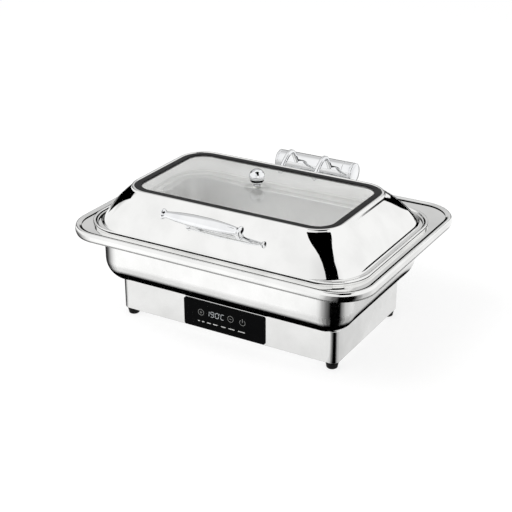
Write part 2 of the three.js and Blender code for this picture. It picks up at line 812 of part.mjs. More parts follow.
const probeTopZ = plateZ - clearance;
const probeShoulderZ = trayFloorZ - clearance;
const probeProfile = [
  [0, probeShoulderZ - probeLength], [probeRadius, probeShoulderZ - probeLength],
  [probeRadius, probeShoulderZ], [probeStemRadius, probeShoulderZ],
  [probeStemRadius, probeTopZ], [0, probeTopZ],
];
piece('temperature_probe', turned(probeProfile, smallSteps), zincSteel, probeX, panCentreY, 0);
const cutoutZ = trayFloorZ - clearance - cutoutHeight;
piece('thermal_cutout', rod(cutoutRadius, 0, cutoutHeight), blackPlastic, cutoutX, panCentreY, cutoutZ);

// Mains inlet with its three pins, snapped into the back wall
function mainsInlet() {
  const flange = new THREE.ExtrudeGeometry(
    roundedOutline(inletFlangeHalfLength, inletFlangeHalfHeight, fasciaCorner),
    { depth: inletFlangeThickness, bevelEnabled: false, curveSegments: 3 },
  );
  flange.rotateX(quarterTurn).translate(inletX, backWallY + clearance + inletFlangeThickness, inletZ);
  const outerY = backWallY + clearance + inletFlangeThickness;
  const body = block(
    inletX - inletBodyHalfLength, inletX + inletBodyHalfLength,
    outerY - inletBodyDepth, outerY - inletWall,
    inletZ - inletBodyHalfHeight, inletZ + inletBodyHalfHeight,
  );
  const socket = block(
    inletX - inletBodyHalfLength + inletWall, inletX + inletBodyHalfLength - inletWall,
    outerY - inletBodyDepth + inletWall, outerY + overrun,
    inletZ - inletBodyHalfHeight + inletWall, inletZ + inletBodyHalfHeight - inletWall,
  );
  const cup = cutOut(joined([flange, body]), [socket]);
  const pinShares = [[-1, -1], [0, 1], [1, -1]];
  const pins = pinShares.map(([sx, sz]) => block(
    inletX + sx * inletPinSpan - inletPinThickness / 2, inletX + sx * inletPinSpan + inletPinThickness / 2,
    outerY - inletBodyDepth + inletWall / 2, outerY - inletBodyDepth + inletPinLength,
    inletZ + sz * inletPinRise - inletPinWidth / 2, inletZ + sz * inletPinRise + inletPinWidth / 2,
  ));
  return joined([cup, ...pins]);
}
piece('mains_inlet', mainsInlet(), blackPlastic);

// Inner leads: the inlet to the terminal block, and the block to each end of the element
function lead(radius, points) {
  const curve = new THREE.CatmullRomCurve3(points.map((p) => new THREE.Vector3(...p)), false, 'centripetal');
  return swept(curve, radius, wireSides, wireSteps);
}
const inletBackY = backWallY + clearance + inletFlangeThickness - inletBodyDepth - clearance;
const blockEndY = terminalY + terminalBlockLength + clearance;
const leadZ = boardPartsZ + terminalBlockHeight / 2;
piece('mains_lead', lead(leadRadius, [
  [inletX, inletBackY, inletZ],
  [inletX, inletBackY - wireDrop, inletZ],
  [inletX - 2 * wireDrop, inletBackY - 2 * wireDrop, leadZ],
  [mainBoardCentreX + 3 * wireDrop, blockEndY + 2 * wireDrop, leadZ],
  [mainBoardCentreX, blockEndY + wireDrop, leadZ],
  [mainBoardCentreX, blockEndY, leadZ],
]), blackPlastic);
const pinEndX = elementExitX + ceramicLength + pinLength + clearance;
const blockSideX = mainBoardCentreX + terminalBlockHeight + clearance;
const blockMiddleY = terminalY + terminalBlockLength / 2;
[['front', 0, -1], ['back', elementPassCount - 1, 1]].forEach(([name, k, side]) => {
  const blockY = blockMiddleY + side * wireDrop;
  piece(`heater_lead_${name}`, lead(wireRadius, [
    [pinEndX, passY(k), elementZ],
    [pinEndX + wireDrop / 2, passY(k), elementZ],
    [pinEndX + wireDrop, passY(k), leadZ + wireDrop],
    [pinEndX, passY(k), leadZ],
    [0, passY(k), leadZ],
    [blockSideX + 3 * wireDrop, blockY, leadZ],
    [blockSideX, blockY, leadZ],
  ]), wireRed);
});

// Water pan: a deep drawn basin with four threaded bosses welded underneath
function floorStations(base, z, radius, wallTopZ) {
  const bendShares = [0, 0.3, 0.65, 1];
  const stations = bendShares.map((share) => {
    const angle = share * quarterTurn;
    return [grow(base, radius * (Math.sin(angle) - 1)), z + radius * (1 - Math.cos(angle)), share - 1];
  });
  return [...stations, [base, wallTopZ, 0]];
}

function waterPan() {
  const stations = [
    ...floorStations(basinPlan, basinZ, basinFloorRadius, basinTopZ - bodySheet),
    [grow(basinPlan, -bodySheet), basinTopZ, 1],
    [grow(basinPlan, -basinTopFlange), basinTopZ, 1],
  ];
  const bosses = footPlaces.map(([x, y]) => (
    rod(basinBossRadius, basinBossZ, basinZ + bodySheet / 2).translate(x, y, 0)
  ));
  const bores = footPlaces.map(([x, y]) => (
    rod(m5Shank + clearance, basinBossZ - overrun, basinBossZ + basinBoltReach + clearance).translate(x, y, 0)
  ));
  return cutOut(joined([pressed(stations, bodySheet, true), ...bosses]), bores);
}
piece('water_pan', waterPan(), polishedSteel);

// Rim frame: rolled outer edge, raised bead, recessed flat, ledge for the food pan and inner lip
const standScrewX = barrelHalfLength + clearance + collarLength / 2;
const standFootBackY = rimHalfDepth - rimBeadWidth - clearance;
const standScrewY = standFootBackY - standFootDepth / 2;

function rimFrame() {
  const edgeShares = [[0.45, 0, 0], [1, 0.3, 0], [0.8, 0.74, 0.2], [0.15, 0.95, 0.55]];
  const stations = edgeShares.map(([outShare, riseShare, lean]) => (
    [grow(rimPlan, rimEdgeOut * outShare), rimFlatZ + rimBeadHeight - rimEdgeDrop * (1 - riseShare), lean]
  ));
  const beadShares = [[0.2, 1, 1], [0.5, 0.9, 1.1], [1, 0, 1]];
  beadShares.forEach(([inShare, riseShare, lean]) => {
    stations.push([grow(rimPlan, -rimBeadWidth * inShare), rimFlatZ + rimBeadHeight * riseShare, lean]);
  });
  const stepShares = [[0, 0, 1], [0.6, 0.2, 1.5], [0.8, 0.8, 1.5], [1.2, 1, 1]];
  stepShares.forEach(([inShare, dropShare, lean]) => {
    stations.push([grow(ledgePlan, -ledgeDrop * inShare), rimFlatZ - ledgeDrop * dropShare, lean]);
  });
  stations.push([grow(openingPlan, bodySheet), ledgeZ, 1]);
  stations.push([openingPlan, ledgeZ - bodySheet, 2]);
  stations.push([openingPlan, ledgeZ - openingLip, 2]);
  const holes = [-standScrewX, standScrewX].map((x) => (
    rod(m5Shank + clearance, -overrun, overrun).translate(x, standScrewY, rimFlatZ)
  ));
  return cutOut(pressed(stations, bodySheet, false), holes);
}
piece('rim_frame', rimFrame(), polishedSteel);

// Food pan resting on the ledge
function foodPan() {
  const bodyTop = grow(foodPanPlan, -foodPanFlange);
  const flangeZ = ledgeZ + clearance;
  const floorZ = flangeZ + panSheet - foodPanDepth;
  const bodyBottom = grow(bodyTop, -foodPanTaper);
  const stations = [
    ...floorStations(bodyBottom, floorZ, foodPanFloorRadius, floorZ + foodPanFloorRadius + panSheet),
    [grow(bodyTop, -panSheet), flangeZ - panSheet, 0],
    [grow(bodyTop, panSheet), flangeZ, -1],
    [grow(foodPanPlan, -foodPanBead), flangeZ, -1],
    [grow(foodPanPlan, -foodPanBead / 2), flangeZ + foodPanBead / 2, foodPanBeadLeanShare],
    [foodPanPlan, flangeZ + foodPanBead / 2, -1],
  ];
  return pressed(stations, panSheet, true);
}
piece('food_pan', foodPan(), satinSteel);

// A point of the dome's wall, and the plan of the wall there, from its top (0) to its base (1)
const wallRun = Math.hypot(domeBaseHalfLength - windowHalfLength - crestWidth, domeTopZ - domeBaseZ);
const bulgeOut = (domeTopZ - domeBaseZ) / wallRun;
const bulgeUp = (domeBaseHalfLength - windowHalfLength - crestWidth) / wallRun;

function wallStation(share) {
  const bulge = domeBulge * 4 * share * (1 - share);
  const base = grow(blend(domeTopPlan, domeBasePlan, share), bulge * bulgeOut);
  return [base, domeTopZ + (domeBaseZ - domeTopZ) * share + bulge * bulgeUp];
}

// The middle of the front or back wall at a share of its height, with its outward direction
function wallPoint(share, side) {
  const at = (s) => {
    const [base, z] = wallStation(s);
    return new THREE.Vector3(0, base.centreY + side * base.halfDepth, z);
  };
  const along = at(share + wallStepShare).sub(at(share - wallStepShare)).normalize();
  return { point: at(share), out: new THREE.Vector3(0, -side * along.z, side * along.y) };
}

// Turns a geometry made along Z to point along a direction, from a start point
function aimed(geometry, start, direction) {
  const turn = new THREE.Quaternion().setFromUnitVectors(new THREE.Vector3(0, 0, 1), direction);
  return geometry.clone().applyQuaternion(turn).translate(start.x, start.y, start.z);
}

const front = wallPoint(handleWallShare, -1);
const back = wallPoint(armWallShare, 1);
const lidHolePlaces = [
  ...[-postX, postX].map((x) => ({ x, wall: front })),
  ...[-armX, armX].map((x) => ({ x, wall: back })),
];

// Lid: window seat, crest, bulged dome wall, valley, bead and hem, pressed from one sheet
function lidDome() {
  const stations = [
    [grow(windowPlan, -seatWidth), seatZ, 1],
    [grow(windowPlan, clearance), seatZ, 1.5],
  ];
  const crestShares = [[0, 0.8, 2], [0.3, 1, 1.1], [0.82, 0.6, 0.7]];
  crestShares.forEach(([outShare, riseShare, lean]) => {
    const base = blend(grow(windowPlan, clearance), domeTopPlan, outShare);
    stations.push([base, domeTopZ + crestRise * riseShare, lean]);
  });
  const wallShares = [0, 0.2, 0.44, 0.75, 1];
  wallShares.forEach((share) => stations.push([...wallStation(share), domeLeanShare]));
  const hemShares = [
    [0.15, 0.58, 0.8], [0.55, 0.52, 1.1], [0.72, 0.92, 1.2], [0.86, 1, 0.9], [0.96, 0.8, 0.5], [1, 0.45, 0.1],
    [1, 0, 0],
  ];
  hemShares.forEach(([outShare, riseShare, lean]) => {
    stations.push([blend(domeBasePlan, lidPlan, outShare), lidHemZ + lidBeadHeight * riseShare, lean]);
  });
  const holes = lidHolePlaces.map(({ x, wall }) => {
    const start = wall.point.clone().addScaledVector(wall.out, -overrun);
    return aimed(rod(m4Shank + clearance, 0, 2 * overrun), start, wall.out).translate(x, 0, 0);
  });
  return cutOut(pressed(stations, bodySheet, false), holes);
}
piece('lid_dome', lidDome(), polishedSteel);

// Window glass, crowned, with a bore for the knob
function windowGlass() {
  const edge = grow(windowPlan, -glassInset);
  const crownShares = [1, 0.8, 0.55, 0.3, 0.08];
  const layer = (lift) => crownShares.map((share) => {
    const base = plan(
      edge.halfLength * share, edge.halfDepth * share, edge.centreY, edge.corner * share,
    );
    return ring(base, glassZ + lift + glassCrown * (1 - share * share));
  });
  const body = loft([...layer(0).reverse(), ...layer(glassThickness)], false);
  return cutOut(body, [
    rod(m5Shank + 2 * clearance, seatZ, seatZ + windowHalfDepth).translate(0, windowCentreY, 0),
  ]);
}
piece('window_glass', windowGlass(), clearGlass);

// Gasket that grips the glass edge and lies on the window seat
function windowGasket() {
  const low = seatZ + clearance;
  const top = seatZ + gasketHeight;
  const slotOut = glassInset - clearance;
  const slotLow = glassZ - clearance;
  const slotTop = glassZ + glassThickness + clearance;
  const slotLift = 2 * clearance;
  const section = [
    [0, low], [0, top - clearance], [clearance, top], [gasketWidth - clearance, top],
    [gasketWidth, top - clearance], [gasketWidth, slotTop + slotLift], [slotOut, slotTop],
    [slotOut, slotLow], [gasketWidth, slotLow], [gasketWidth, low],
  ];
  return loft(section.map(([inward, z]) => ring(grow(windowPlan, -inward), z)), true);
}
piece('window_gasket', windowGasket(), blackRubber);

// Ball knob on the glass, with washers on both faces and a screw from below
function ballKnob() {
  const low = glassCentreTopZ + knobWasherThickness + 2 * clearance;
  const centre = glassCentreTopZ + ballRise;
  const bore = m5Shank + clearance;
  const boreTop = low + knobScrewReach;
  const neckMeet = Math.sqrt(ballRadius * ballRadius - knobNeckRadius * knobNeckRadius);
  const profile = [
    [0, boreTop], [bore, boreTop], [bore, low], [knobSkirtRadius, low],
    [knobSkirtRadius, low + knobSkirtHeight / 2], [knobNeckRadius, low + knobSkirtHeight],
    [knobNeckRadius, centre - neckMeet],
  ];
  const ballShares = [0.42, 0.6, 0.8, 1, 1.2, 1.4, 1.6, 1.8];
  ballShares.forEach((share) => {
    const angle = share * quarterTurn;
    profile.push([ballRadius * Math.sin(angle), centre - ballRadius * Math.cos(angle)]);
  });
  profile.push([0, centre + ballRadius]);
  return turned(profile);
}
piece('ball_knob', ballKnob(), chrome, 0, windowCentreY, 0);
const knobWasher = tube(knobWasherRadius, m5Shank + clearance, 0, knobWasherThickness);
const glassUnderZ = glassZ + glassCrown;
const underWasherZ = glassUnderZ - clearance - knobWasherThickness;
const overWasherZ = glassCentreTopZ + clearance;
piece('knob_washer_lower', knobWasher, clearSilicone, 0, windowCentreY, underWasherZ);
piece('knob_washer_upper', knobWasher, clearSilicone, 0, windowCentreY, overWasherZ);
const knobScrewReachTotal = glassCentreTopZ - underWasherZ + knobScrewReach;
const knobScrew = screw(m5Shank, m5Head, m5HeadHeight, knobScrewReachTotal);
piece('knob_screw', knobScrew, zincSteel, 0, windowCentreY, underWasherZ - clearance);

// Handle: two posts square to the front wall carry a waisted grip with flared ends
const gripAxis = front.point.clone().addScaledVector(front.out, gripStandoff);
const postStart = (x) => new THREE.Vector3(x, 0, 0).add(front.point).addScaledVector(front.out, clearance);

function postBody() {
  const bore = m4Shank + clearance;
  const reach = gripStandoff - gripRadius + postSink;
  return turned([
    [0, handleScrewReach], [bore, handleScrewReach], [bore, 0], [postSkirtRadius, 0],
    [postSkirtRadius, postSkirtHeight / 2], [postRadius, postSkirtHeight], [postRadius, reach], [0, reach],
  ], smallSteps);
}
[['handle_post_left', -postX], ['handle_post_right', postX]].forEach(([name, x]) => {
  piece(name, aimed(postBody(), postStart(x), front.out), chrome);
});

function grip() {
  const halfShares = [
    [0, 1], [0.35, 0.94], [0.65, 0.76], [0.87, 0.58], [0.93, 0.8], [0.965, 0.86], [0.99, 0.68], [1, 0],
  ];
  const mirrored = halfShares.slice(1).reverse().map(([along, out]) => [-along, out]);
  const profile = [...mirrored, ...halfShares];
  const body = turned(profile.map(([along, out]) => [gripRadius * out, gripHalfLength * along]));
  body.rotateY(quarterTurn).translate(gripAxis.x, gripAxis.y, gripAxis.z);
  const sockets = [-postX, postX].map((x) => {
    const reach = gripStandoff - gripRadius + postSink + clearance;
    return aimed(rod(postRadius + clearance, 0, reach + clearance), postStart(x), front.out);
  });
  return cutOut(body, sockets);
}
piece('handle_grip', grip(), chrome);
const inward = (wall, depth, x) => (
  new THREE.Vector3(x, 0, 0).add(wall.point).addScaledVector(wall.out, -depth)
);
const screwDepth = bodySheet + 2 * clearance;
const handleScrew = screw(m4Shank, m4Head, m4HeadHeight, screwDepth + handleScrewReach - clearance);
[['left', -postX], ['right', postX]].forEach(([name, x]) => {
  piece(`handle_screw_${name}`, aimed(handleScrew, inward(front, screwDepth, x), front.out), zincSteel);
});

// Hinge: fixed stands, caps and shaft, and the barrel that turns with the lid
const hingePlace = [0, hingeY, hingeZ];
const alongX = (geometry) => geometry.rotateY(quarterTurn);
const bore = barrelRadius - barrelWall;
const collarStart = barrelHalfLength + clearance;
const collarEnd = collarStart + collarLength;
const capStart = collarEnd + clearance;

function hingeStand(side) {
  const grooveShares = [0.78, 0.81, 0.85, 0.88];
  const profile = [
    [bore, collarStart], [barrelRadius, collarStart],
    ...grooveShares.map((share, k) => [
      barrelRadius - (k === 1 || k === 2 ? collarGroove : 0), collarStart + share * collarLength,
    ]),
    [barrelRadius, collarEnd], [bore, collarEnd], [bore, collarStart],
  ];
  const collar = alongX(turned(profile, barrelSteps)).scale(side, 1, 1);
  const footZ = rimFlatZ + clearance - hingeZ;
  const outline = new THREE.Shape();
  const footBack = standFootBackY - hingeY;
  const footFront = footBack - standFootDepth;
  outline.moveTo(footFront, footZ);
  outline.lineTo(footBack, footZ);
  outline.lineTo(footBack, footZ + standFootHeight);
  outline.lineTo(standNeckHalfDepth, footZ + 2 * standFootHeight);
  outline.lineTo(standNeckHalfDepth, -bore / 2);
  outline.lineTo(-standNeckHalfDepth, -bore / 2);
  outline.lineTo(-standNeckHalfDepth, footZ + 2 * standFootHeight);
  outline.lineTo(footFront, footZ + standFootHeight);
  outline.closePath();
  const leg = new THREE.ExtrudeGeometry(outline, { depth: collarLength, bevelEnabled: false });
  leg.rotateX(quarterTurn).rotateZ(quarterTurn);
  leg.translate(side > 0 ? collarStart : -collarEnd, 0, 0);
  return cutOut(joined([collar, leg]), [
    alongX(rod(bore, -capStart - overrun, capStart + overrun, barrelSteps)),
    rod(m5Shank + clearance, footZ - overrun, footZ + standScrewReach)
      .translate(side * standScrewX, standScrewY - hingeY, 0),
  ]);
}

function endCap(side) {
  const shaftBore = shaftRadius + clearance;
  const shaftEnd = collarEnd - shaftEndGap + clearance;
  const plug = bore - clearance;
  const profile = [
    [0, shaftEnd], [shaftBore, shaftEnd], [shaftBore, capStart - capPlug], [plug, capStart - capPlug],
    [plug, capStart], [barrelRadius, capStart], [barrelRadius, capStart + capThickness - capChamfer],
    [barrelRadius - capChamfer, capStart + capThickness], [0, capStart + capThickness],
  ];
  return alongX(turned(profile, barrelSteps)).scale(side, 1, 1);
}
[['left', -1], ['right', 1]].forEach(([name, side]) => {
  piece(`hinge_stand_${name}`, hingeStand(side), chrome, ...hingePlace);
  piece(`hinge_end_cap_${name}`, endCap(side), chrome, ...hingePlace);
});
const shaftHalfLength = collarEnd - shaftEndGap;
const hingeShaft = rod(shaftRadius, -shaftHalfLength, shaftHalfLength, roundSteps);
piece('hinge_shaft', alongX(hingeShaft), zincSteel, ...hingePlace);

// The route of each arm from the lid's back wall over to the barrel
const armFoot = back.point;
const armReach = hingeY - armFoot.y;
const armRouteShares = [
  [0, 0], [0.085, 0.36], [0.25, 0.73], [0.39, 0.95], [0.5, 1], [0.6, 0.87], [0.7, 0.5], [0.8, 0.05], [0.86, -0.25],
];
const armRoute = armRouteShares.map(([along, up]) => (
  new THREE.Vector2(armFoot.y + armReach * along, armFoot.z + armRise * up)
));

// Gooseneck arm: a flat bar bent over, from the lid's back wall to the barrel
function hingeArm(x) {
  const curve = new THREE.SplineCurve(armRoute);
  const upper = [];
  const lower = [];
  for (let k = 0; k <= armSteps; k += 1) {
    const at = curve.getPoint(k / armSteps);
    const along = curve.getTangent(k / armSteps);
    const out = new THREE.Vector2(-along.y, along.x).multiplyScalar(armThickness / 2);
    upper.push(at.clone().add(out));
    lower.push(at.clone().sub(out));
  }
  const outline = new THREE.Shape([...upper, ...lower.reverse()]);
  const bar = new THREE.ExtrudeGeometry(outline, { depth: armWidth, bevelEnabled: false });
  bar.rotateX(quarterTurn).rotateZ(quarterTurn).translate(x - armWidth / 2, 0, 0);
  const wallCut = armThickness * 2;
  const lidSide = block(-wallCut, wallCut, -wallCut, wallCut, -wallCut, clearance);
  const cuts = [
    alongX(rod(barrelRadius + clearance, -armWidth, armWidth, 2 * barrelSteps)).translate(x, hingeY, hingeZ),
    aimed(lidSide, back.point, back.out).translate(x, 0, 0),
    aimed(rod(m4Shank + clearance, -overrun, armBoltReach), back.point, back.out).translate(x, 0, 0),
  ];
  return cutOut(bar, cuts);
}
piece('hinge_arm_left', hingeArm(-armX), chrome);
piece('hinge_arm_right', hingeArm(armX), chrome);

const barrelTube = alongX(tube(barrelRadius, bore, -barrelHalfLength, barrelHalfLength, barrelSteps));
piece('hinge_barrel', barrelTube, chrome, ...hingePlace);
const armBolt = domedScrew(m4Shank, domeHeadRadius, bodySheet + armBoltReach);
[['left', -armX], ['right', armX]].forEach(([name, x]) => {
  piece(`arm_bolt_${name}`, aimed(armBolt, inward(back, screwDepth, x), back.out), chrome);
});

// Inside the barrel: two bushes and a rotary damper
const bushEnd = barrelHalfLength - clearance;
const bush = alongX(tube(bore - clearance, shaftRadius + clearance, 0, bushLength));
piece('hinge_bush_left', bush, bronze, -bushEnd, hingeY, hingeZ);
piece('hinge_bush_right', bush, bronze, bushEnd - bushLength, hingeY, hingeZ);
const sleeveBore = bore - clearance - damperWall;
const sleeveInner = damperHalfLength - damperEndWall;
const sleeveProfile = [
  [shaftRadius + clearance, -damperHalfLength], [bore - clearance, -damperHalfLength],
  [bore - clearance, damperHalfLength], [shaftRadius + clearance, damperHalfLength],
  [shaftRadius + clearance, sleeveInner], [sleeveBore, sleeveInner],
  [sleeveBore, -sleeveInner], [shaftRadius + clearance, -sleeveInner],
  [shaftRadius + clearance, -damperHalfLength],
];
piece('damper_sleeve', alongX(turned(sleeveProfile)), blackPlastic, ...hingePlace);

function damperRotor() {
  const half = sleeveInner - clearance;
  const reach = sleeveBore - 2 * clearance;
  const hub = rod(rotorHubRadius, -half, half, roundSteps);
  const vane = block(-rotorVaneWidth / 2, rotorVaneWidth / 2, -reach, reach, -half, half);
  const bore = rod(shaftRadius + clearance, -half - overrun, half + overrun, roundSteps);
  const rotor = cutOut(joined([hub, vane]), [bore]);
  return alongX(rotor);
}
piece('damper_rotor', damperRotor(), blackPlastic, ...hingePlace);

// Backing plate under the rim and the screws that hold the two stands
const flatUnderZ = rimFlatZ - bodySheet;
const backingTopZ = flatUnderZ - clearance;
function backingPlate() {
  const halfLength = collarEnd + backingPlateMargin;
  const body = block(
    -halfLength, halfLength, standFootBackY - standFootDepth, standFootBackY,
    backingTopZ - backingPlateSheet, backingTopZ,
  );
  const holes = [-standScrewX, standScrewX].map((x) => (
    rod(m5Shank + clearance, -overrun, overrun).translate(x, standScrewY, backingTopZ)
  ));
  return cutOut(body, holes);
}
piece('hinge_backing_plate', backingPlate(), zincSteel);
const standScrewZ = backingTopZ - backingPlateSheet - clearance;
const standScrewLength = rimFlatZ + standScrewReach - standScrewZ;
const standScrew = screw(m5Shank, m5Head, m5HeadHeight, standScrewLength);
[['left', -standScrewX], ['right', standScrewX]].forEach(([name, x]) => {
  piece(`hinge_stand_screw_${name}`, standScrew, zincSteel, x, standScrewY, standScrewZ);
});

export default dish;
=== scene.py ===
"""Electric chafing dish in polished steel, dressed for a plain studio picture.

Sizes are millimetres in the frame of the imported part, with X to the right, Y to the back and Z up.
Meshes are made in metres.
"""
import logging
import math
from dataclasses import dataclass, field
from enum import Enum

import bmesh
import bpy
from mathutils import Matrix, Vector


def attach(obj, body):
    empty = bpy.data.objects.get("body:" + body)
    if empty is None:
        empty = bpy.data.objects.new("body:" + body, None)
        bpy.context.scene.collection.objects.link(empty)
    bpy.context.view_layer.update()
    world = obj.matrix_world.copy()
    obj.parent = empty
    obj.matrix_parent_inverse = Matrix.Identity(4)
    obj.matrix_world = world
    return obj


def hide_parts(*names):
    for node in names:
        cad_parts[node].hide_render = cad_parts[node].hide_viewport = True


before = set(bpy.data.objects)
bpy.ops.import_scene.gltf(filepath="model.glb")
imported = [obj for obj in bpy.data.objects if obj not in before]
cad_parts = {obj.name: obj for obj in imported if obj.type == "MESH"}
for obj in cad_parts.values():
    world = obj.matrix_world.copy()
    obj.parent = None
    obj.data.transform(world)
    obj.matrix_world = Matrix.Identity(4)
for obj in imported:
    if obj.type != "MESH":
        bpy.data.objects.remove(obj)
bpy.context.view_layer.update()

log = logging.getLogger("chafing_dish")
MM = 0.001
QUARTER_TURN = math.pi / 2
# Edges that turn by more degrees than this stay sharp, on new pieces and on kept nodes
SHARP_ANGLE = 38.0
KEPT_SHARP_ANGLE = 32.0
# The least turn in degrees that a bevel rounds, and its steps
BEVEL_ANGLE = 40.0
BEVEL_STEPS = 2
# A bend takes at most this share of the side that it starts on
BEND_LIMIT = 0.5
# Points round a drilled hole
HOLE_STEPS = 32
Ring = list[Vector]
Socket = bpy.types.NodeSocket


class Side(Enum):
    """Left or right of the dish, seen from the front."""

    LEFT = -1
    RIGHT = 1

    @property
    def label(self) -> str:
        """The word that names of pieces end in."""
        return self.name.lower()


class Ends(Enum):
    """How the first and last ring of a skin are closed."""

    CAPPED = "capped"
    LOOPED = "looped"


class Surface(Enum):
    """How a metal's surface was worked, which sets the shape of its fine relief."""

    POLISHED = "polished"
    BRUSHED = "brushed"
    CAST = "cast"
    PLATED = "plated"


# Section and plan geometry


@dataclass(frozen=True)
class Plan:
    """A rounded rectangle seen from above.

    Attributes:
        half_length: Half its size along X.
        half_depth: Half its size along Y.
        centre_y: Where its middle lies along Y.
        corner: The radius of its corners.
    """

    half_length: float
    half_depth: float
    centre_y: float
    corner: float

    ARC_STEPS = 18
    LEAST_CORNER = 0.8
    SIDE_SHARES = (0.03, 0.5, 0.97)

    def grown(self, out: float) -> "Plan":
        """The same plan moved out (or in, when negative) on all sides."""
        corner = max(self.corner + out, self.LEAST_CORNER)
        return Plan(self.half_length + out, self.half_depth + out, self.centre_y, corner)

    def mixed(self, other: "Plan", share: float) -> "Plan":
        """A plan between this one and another.

        Args:
            other: The plan reached at a share of one.
            share: How far towards the other plan.

        Returns:
            The plan in between.
        """
        def between(low: float, high: float) -> float:
            """A number between two others."""
            return low + (high - low) * share

        return Plan(
            between(self.half_length, other.half_length),
            between(self.half_depth, other.half_depth),
            between(self.centre_y, other.centre_y),
            between(self.corner, other.corner),
        )

    def scaled(self, share: float) -> "Plan":
        """The plan shrunk towards its own middle."""
        return Plan(self.half_length * share, self.half_depth * share, self.centre_y, self.corner * share)

    def ring(self, height: float) -> Ring:
        """Points round the plan at one height, counter-clockwise.

        Args:
            height: The height of every point.

        Returns:
            The points, with a few on each straight side.
        """
        points: Ring = []
        for quarter in range(4):
            points += self._corner(quarter, height)
            start = points[-1]
            end = self._corner(quarter + 1, height)[0]
            points += [start.lerp(end, share) for share in self.SIDE_SHARES]
        return points

    def _corner(self, quarter: int, height: float) -> Ring:
        """The points of one rounded corner.

        Args:
            quarter: Which corner, counted counter-clockwise from the back right.
            height: The height of every point.

        Returns:
            The corner's points.
        """
        side_x = 1 if quarter % 4 in (0, 3) else -1
        side_y = 1 if quarter % 4 in (0, 1) else -1
        middle_x = side_x * (self.half_length - self.corner)
        middle_y = self.centre_y + side_y * (self.half_depth - self.corner)
        points: Ring = []
        for step in range(self.ARC_STEPS + 1):
            turn = (quarter + step / self.ARC_STEPS) * QUARTER_TURN
            x = middle_x + self.corner * math.cos(turn)
            y = middle_y + self.corner * math.sin(turn)
            points.append(Vector((x, y, height)))
        return points


Station = tuple[Plan, float]
Corner = tuple[Plan, float, float]


def bent(corners: list[Corner], steps: int = 6) -> list[Station]:
    """Rounds the corners of a section that runs from plan to plan.

    Args:
        corners: Each corner's plan, its height and how far from it the bend starts.
        steps: How many steps each bend has.

    Returns:
        The plans and heights along the bent section.
    """
    def mixed(low: Station, high: Station, share: float) -> Station:
        """A plan and height between two others."""
        return low[0].mixed(high[0], share), low[1] + (high[1] - low[1]) * share

    def distance(low: Station, high: Station) -> float:
        """How far apart two places of the section are."""
        out = max(abs(high[0].half_length - low[0].half_length), abs(high[0].half_depth - low[0].half_depth))
        return math.hypot(out, high[1] - low[1])

    stations: list[Station] = [corners[0][:2]]
    for before, here, after in zip(corners, corners[1:], corners[2:]):
        reach = here[2]
        if reach <= 0:
            stations.append(here[:2])
            continue
        start = mixed(here[:2], before[:2], min(BEND_LIMIT, reach / distance(here[:2], before[:2])))
        end = mixed(here[:2], after[:2], min(BEND_LIMIT, reach / distance(here[:2], after[:2])))
        for step in range(steps + 1):
            share = step / steps
            first = mixed(start, here[:2], share)
            second = mixed(here[:2], end, share)
            stations.append(mixed(first, second, share))
    stations.append(corners[-1][:2])
    return stations[:1] + [here for before, here in zip(stations, stations[1:]) if here != before]


def pressed(stations: list[Station], sheet: float) -> list[Ring]:
    """Rings of a pressed sheet, along its seen face and back along the other.

    Args:
        stations: The seen face, from low outside to high inside.
        sheet: The sheet's thickness.

    Returns:
        The rings, ready for a skin that is capped (a pan) or looped (a frame).
    """
    seen = [plan.ring(height) for plan, height in stations]
    behind: list[Ring] = []
    last = len(stations) - 1
    for index, (plan, height) in enumerate(stations):
        before = stations[max(index - 1, 0)]
        after = stations[min(index + 1, last)]
        along = Vector((after[0].half_length - before[0].half_length, after[1] - before[1])).normalized()
        behind.append(plan.grown(-sheet * along.y).ring(height + sheet * along.x))
    return seen + behind[::-1]


def rounded_line(corners: list[tuple[float, float, float]]) -> list[tuple[float, float]]:
    """Rounds the corners of a flat line.

    Args:
        corners: Each corner's two coordinates and how far from it the bend starts.

    Returns:
        The points of the rounded line.
    """
    steps = 5
    line = [Vector(corners[0][:2])]
    for before, here, after in zip(corners, corners[1:], corners[2:]):
        middle = Vector(here[:2])
        if here[2] <= 0:
            line.append(middle)
            continue
        to_before = Vector(before[:2]) - middle
        to_after = Vector(after[:2]) - middle
        start = middle + to_before * min(BEND_LIMIT, here[2] / to_before.length)
        end = middle + to_after * min(BEND_LIMIT, here[2] / to_after.length)
        for step in range(steps + 1):
            share = step / steps
            line.append(start.lerp(middle, share).lerp(middle.lerp(end, share), share))
    line.append(Vector(corners[-1][:2]))
    return [(point.x, point.y) for point in line]


def smooth_line(points: list[tuple[float, ...]], steps: int) -> list[Vector]:
    """Runs a smooth curve through points.

    Args:
        points: The points that the curve passes through.
        steps: How many steps lie between two of them.

    Returns:
        The points of the curve.
    """
    stops = [Vector(point) for point in points]
    curve: list[Vector] = []
    for index in range(len(stops) - 1):
        here, there = stops[index], stops[index + 1]
        before = stops[index - 1] if index else here * 2 - there
        after = stops[index + 2] if index + 2 < len(stops) else there * 2 - here
        for step in range(steps):
            share = step / steps
            slope_here = (there - before) / 2
            slope_there = (after - here) / 2
            square, cube = share * share, share * share * share
            curve.append(
                here * (2 * cube - 3 * square + 1) + slope_here * (cube - 2 * square + share)
                + there * (3 * square - 2 * cube) + slope_there * (cube - square)
            )
    curve.append(stops[-1])
    return curve


def turned(profile: list[tuple[float, float]], steps: int) -> list[Ring]:
    """Rings of a body turned about its own Z axis.

    Args:
        profile: Radius and height of each ring.
        steps: How many points each ring has.

    Returns:
        The rings from first to last.
    """
    rings: list[Ring] = []
    for radius, height in profile:
        angles = [2 * math.pi * step / steps for step in range(steps)]
        rings.append([Vector((radius * math.cos(a), radius * math.sin(a), height)) for a in angles])
    return rings


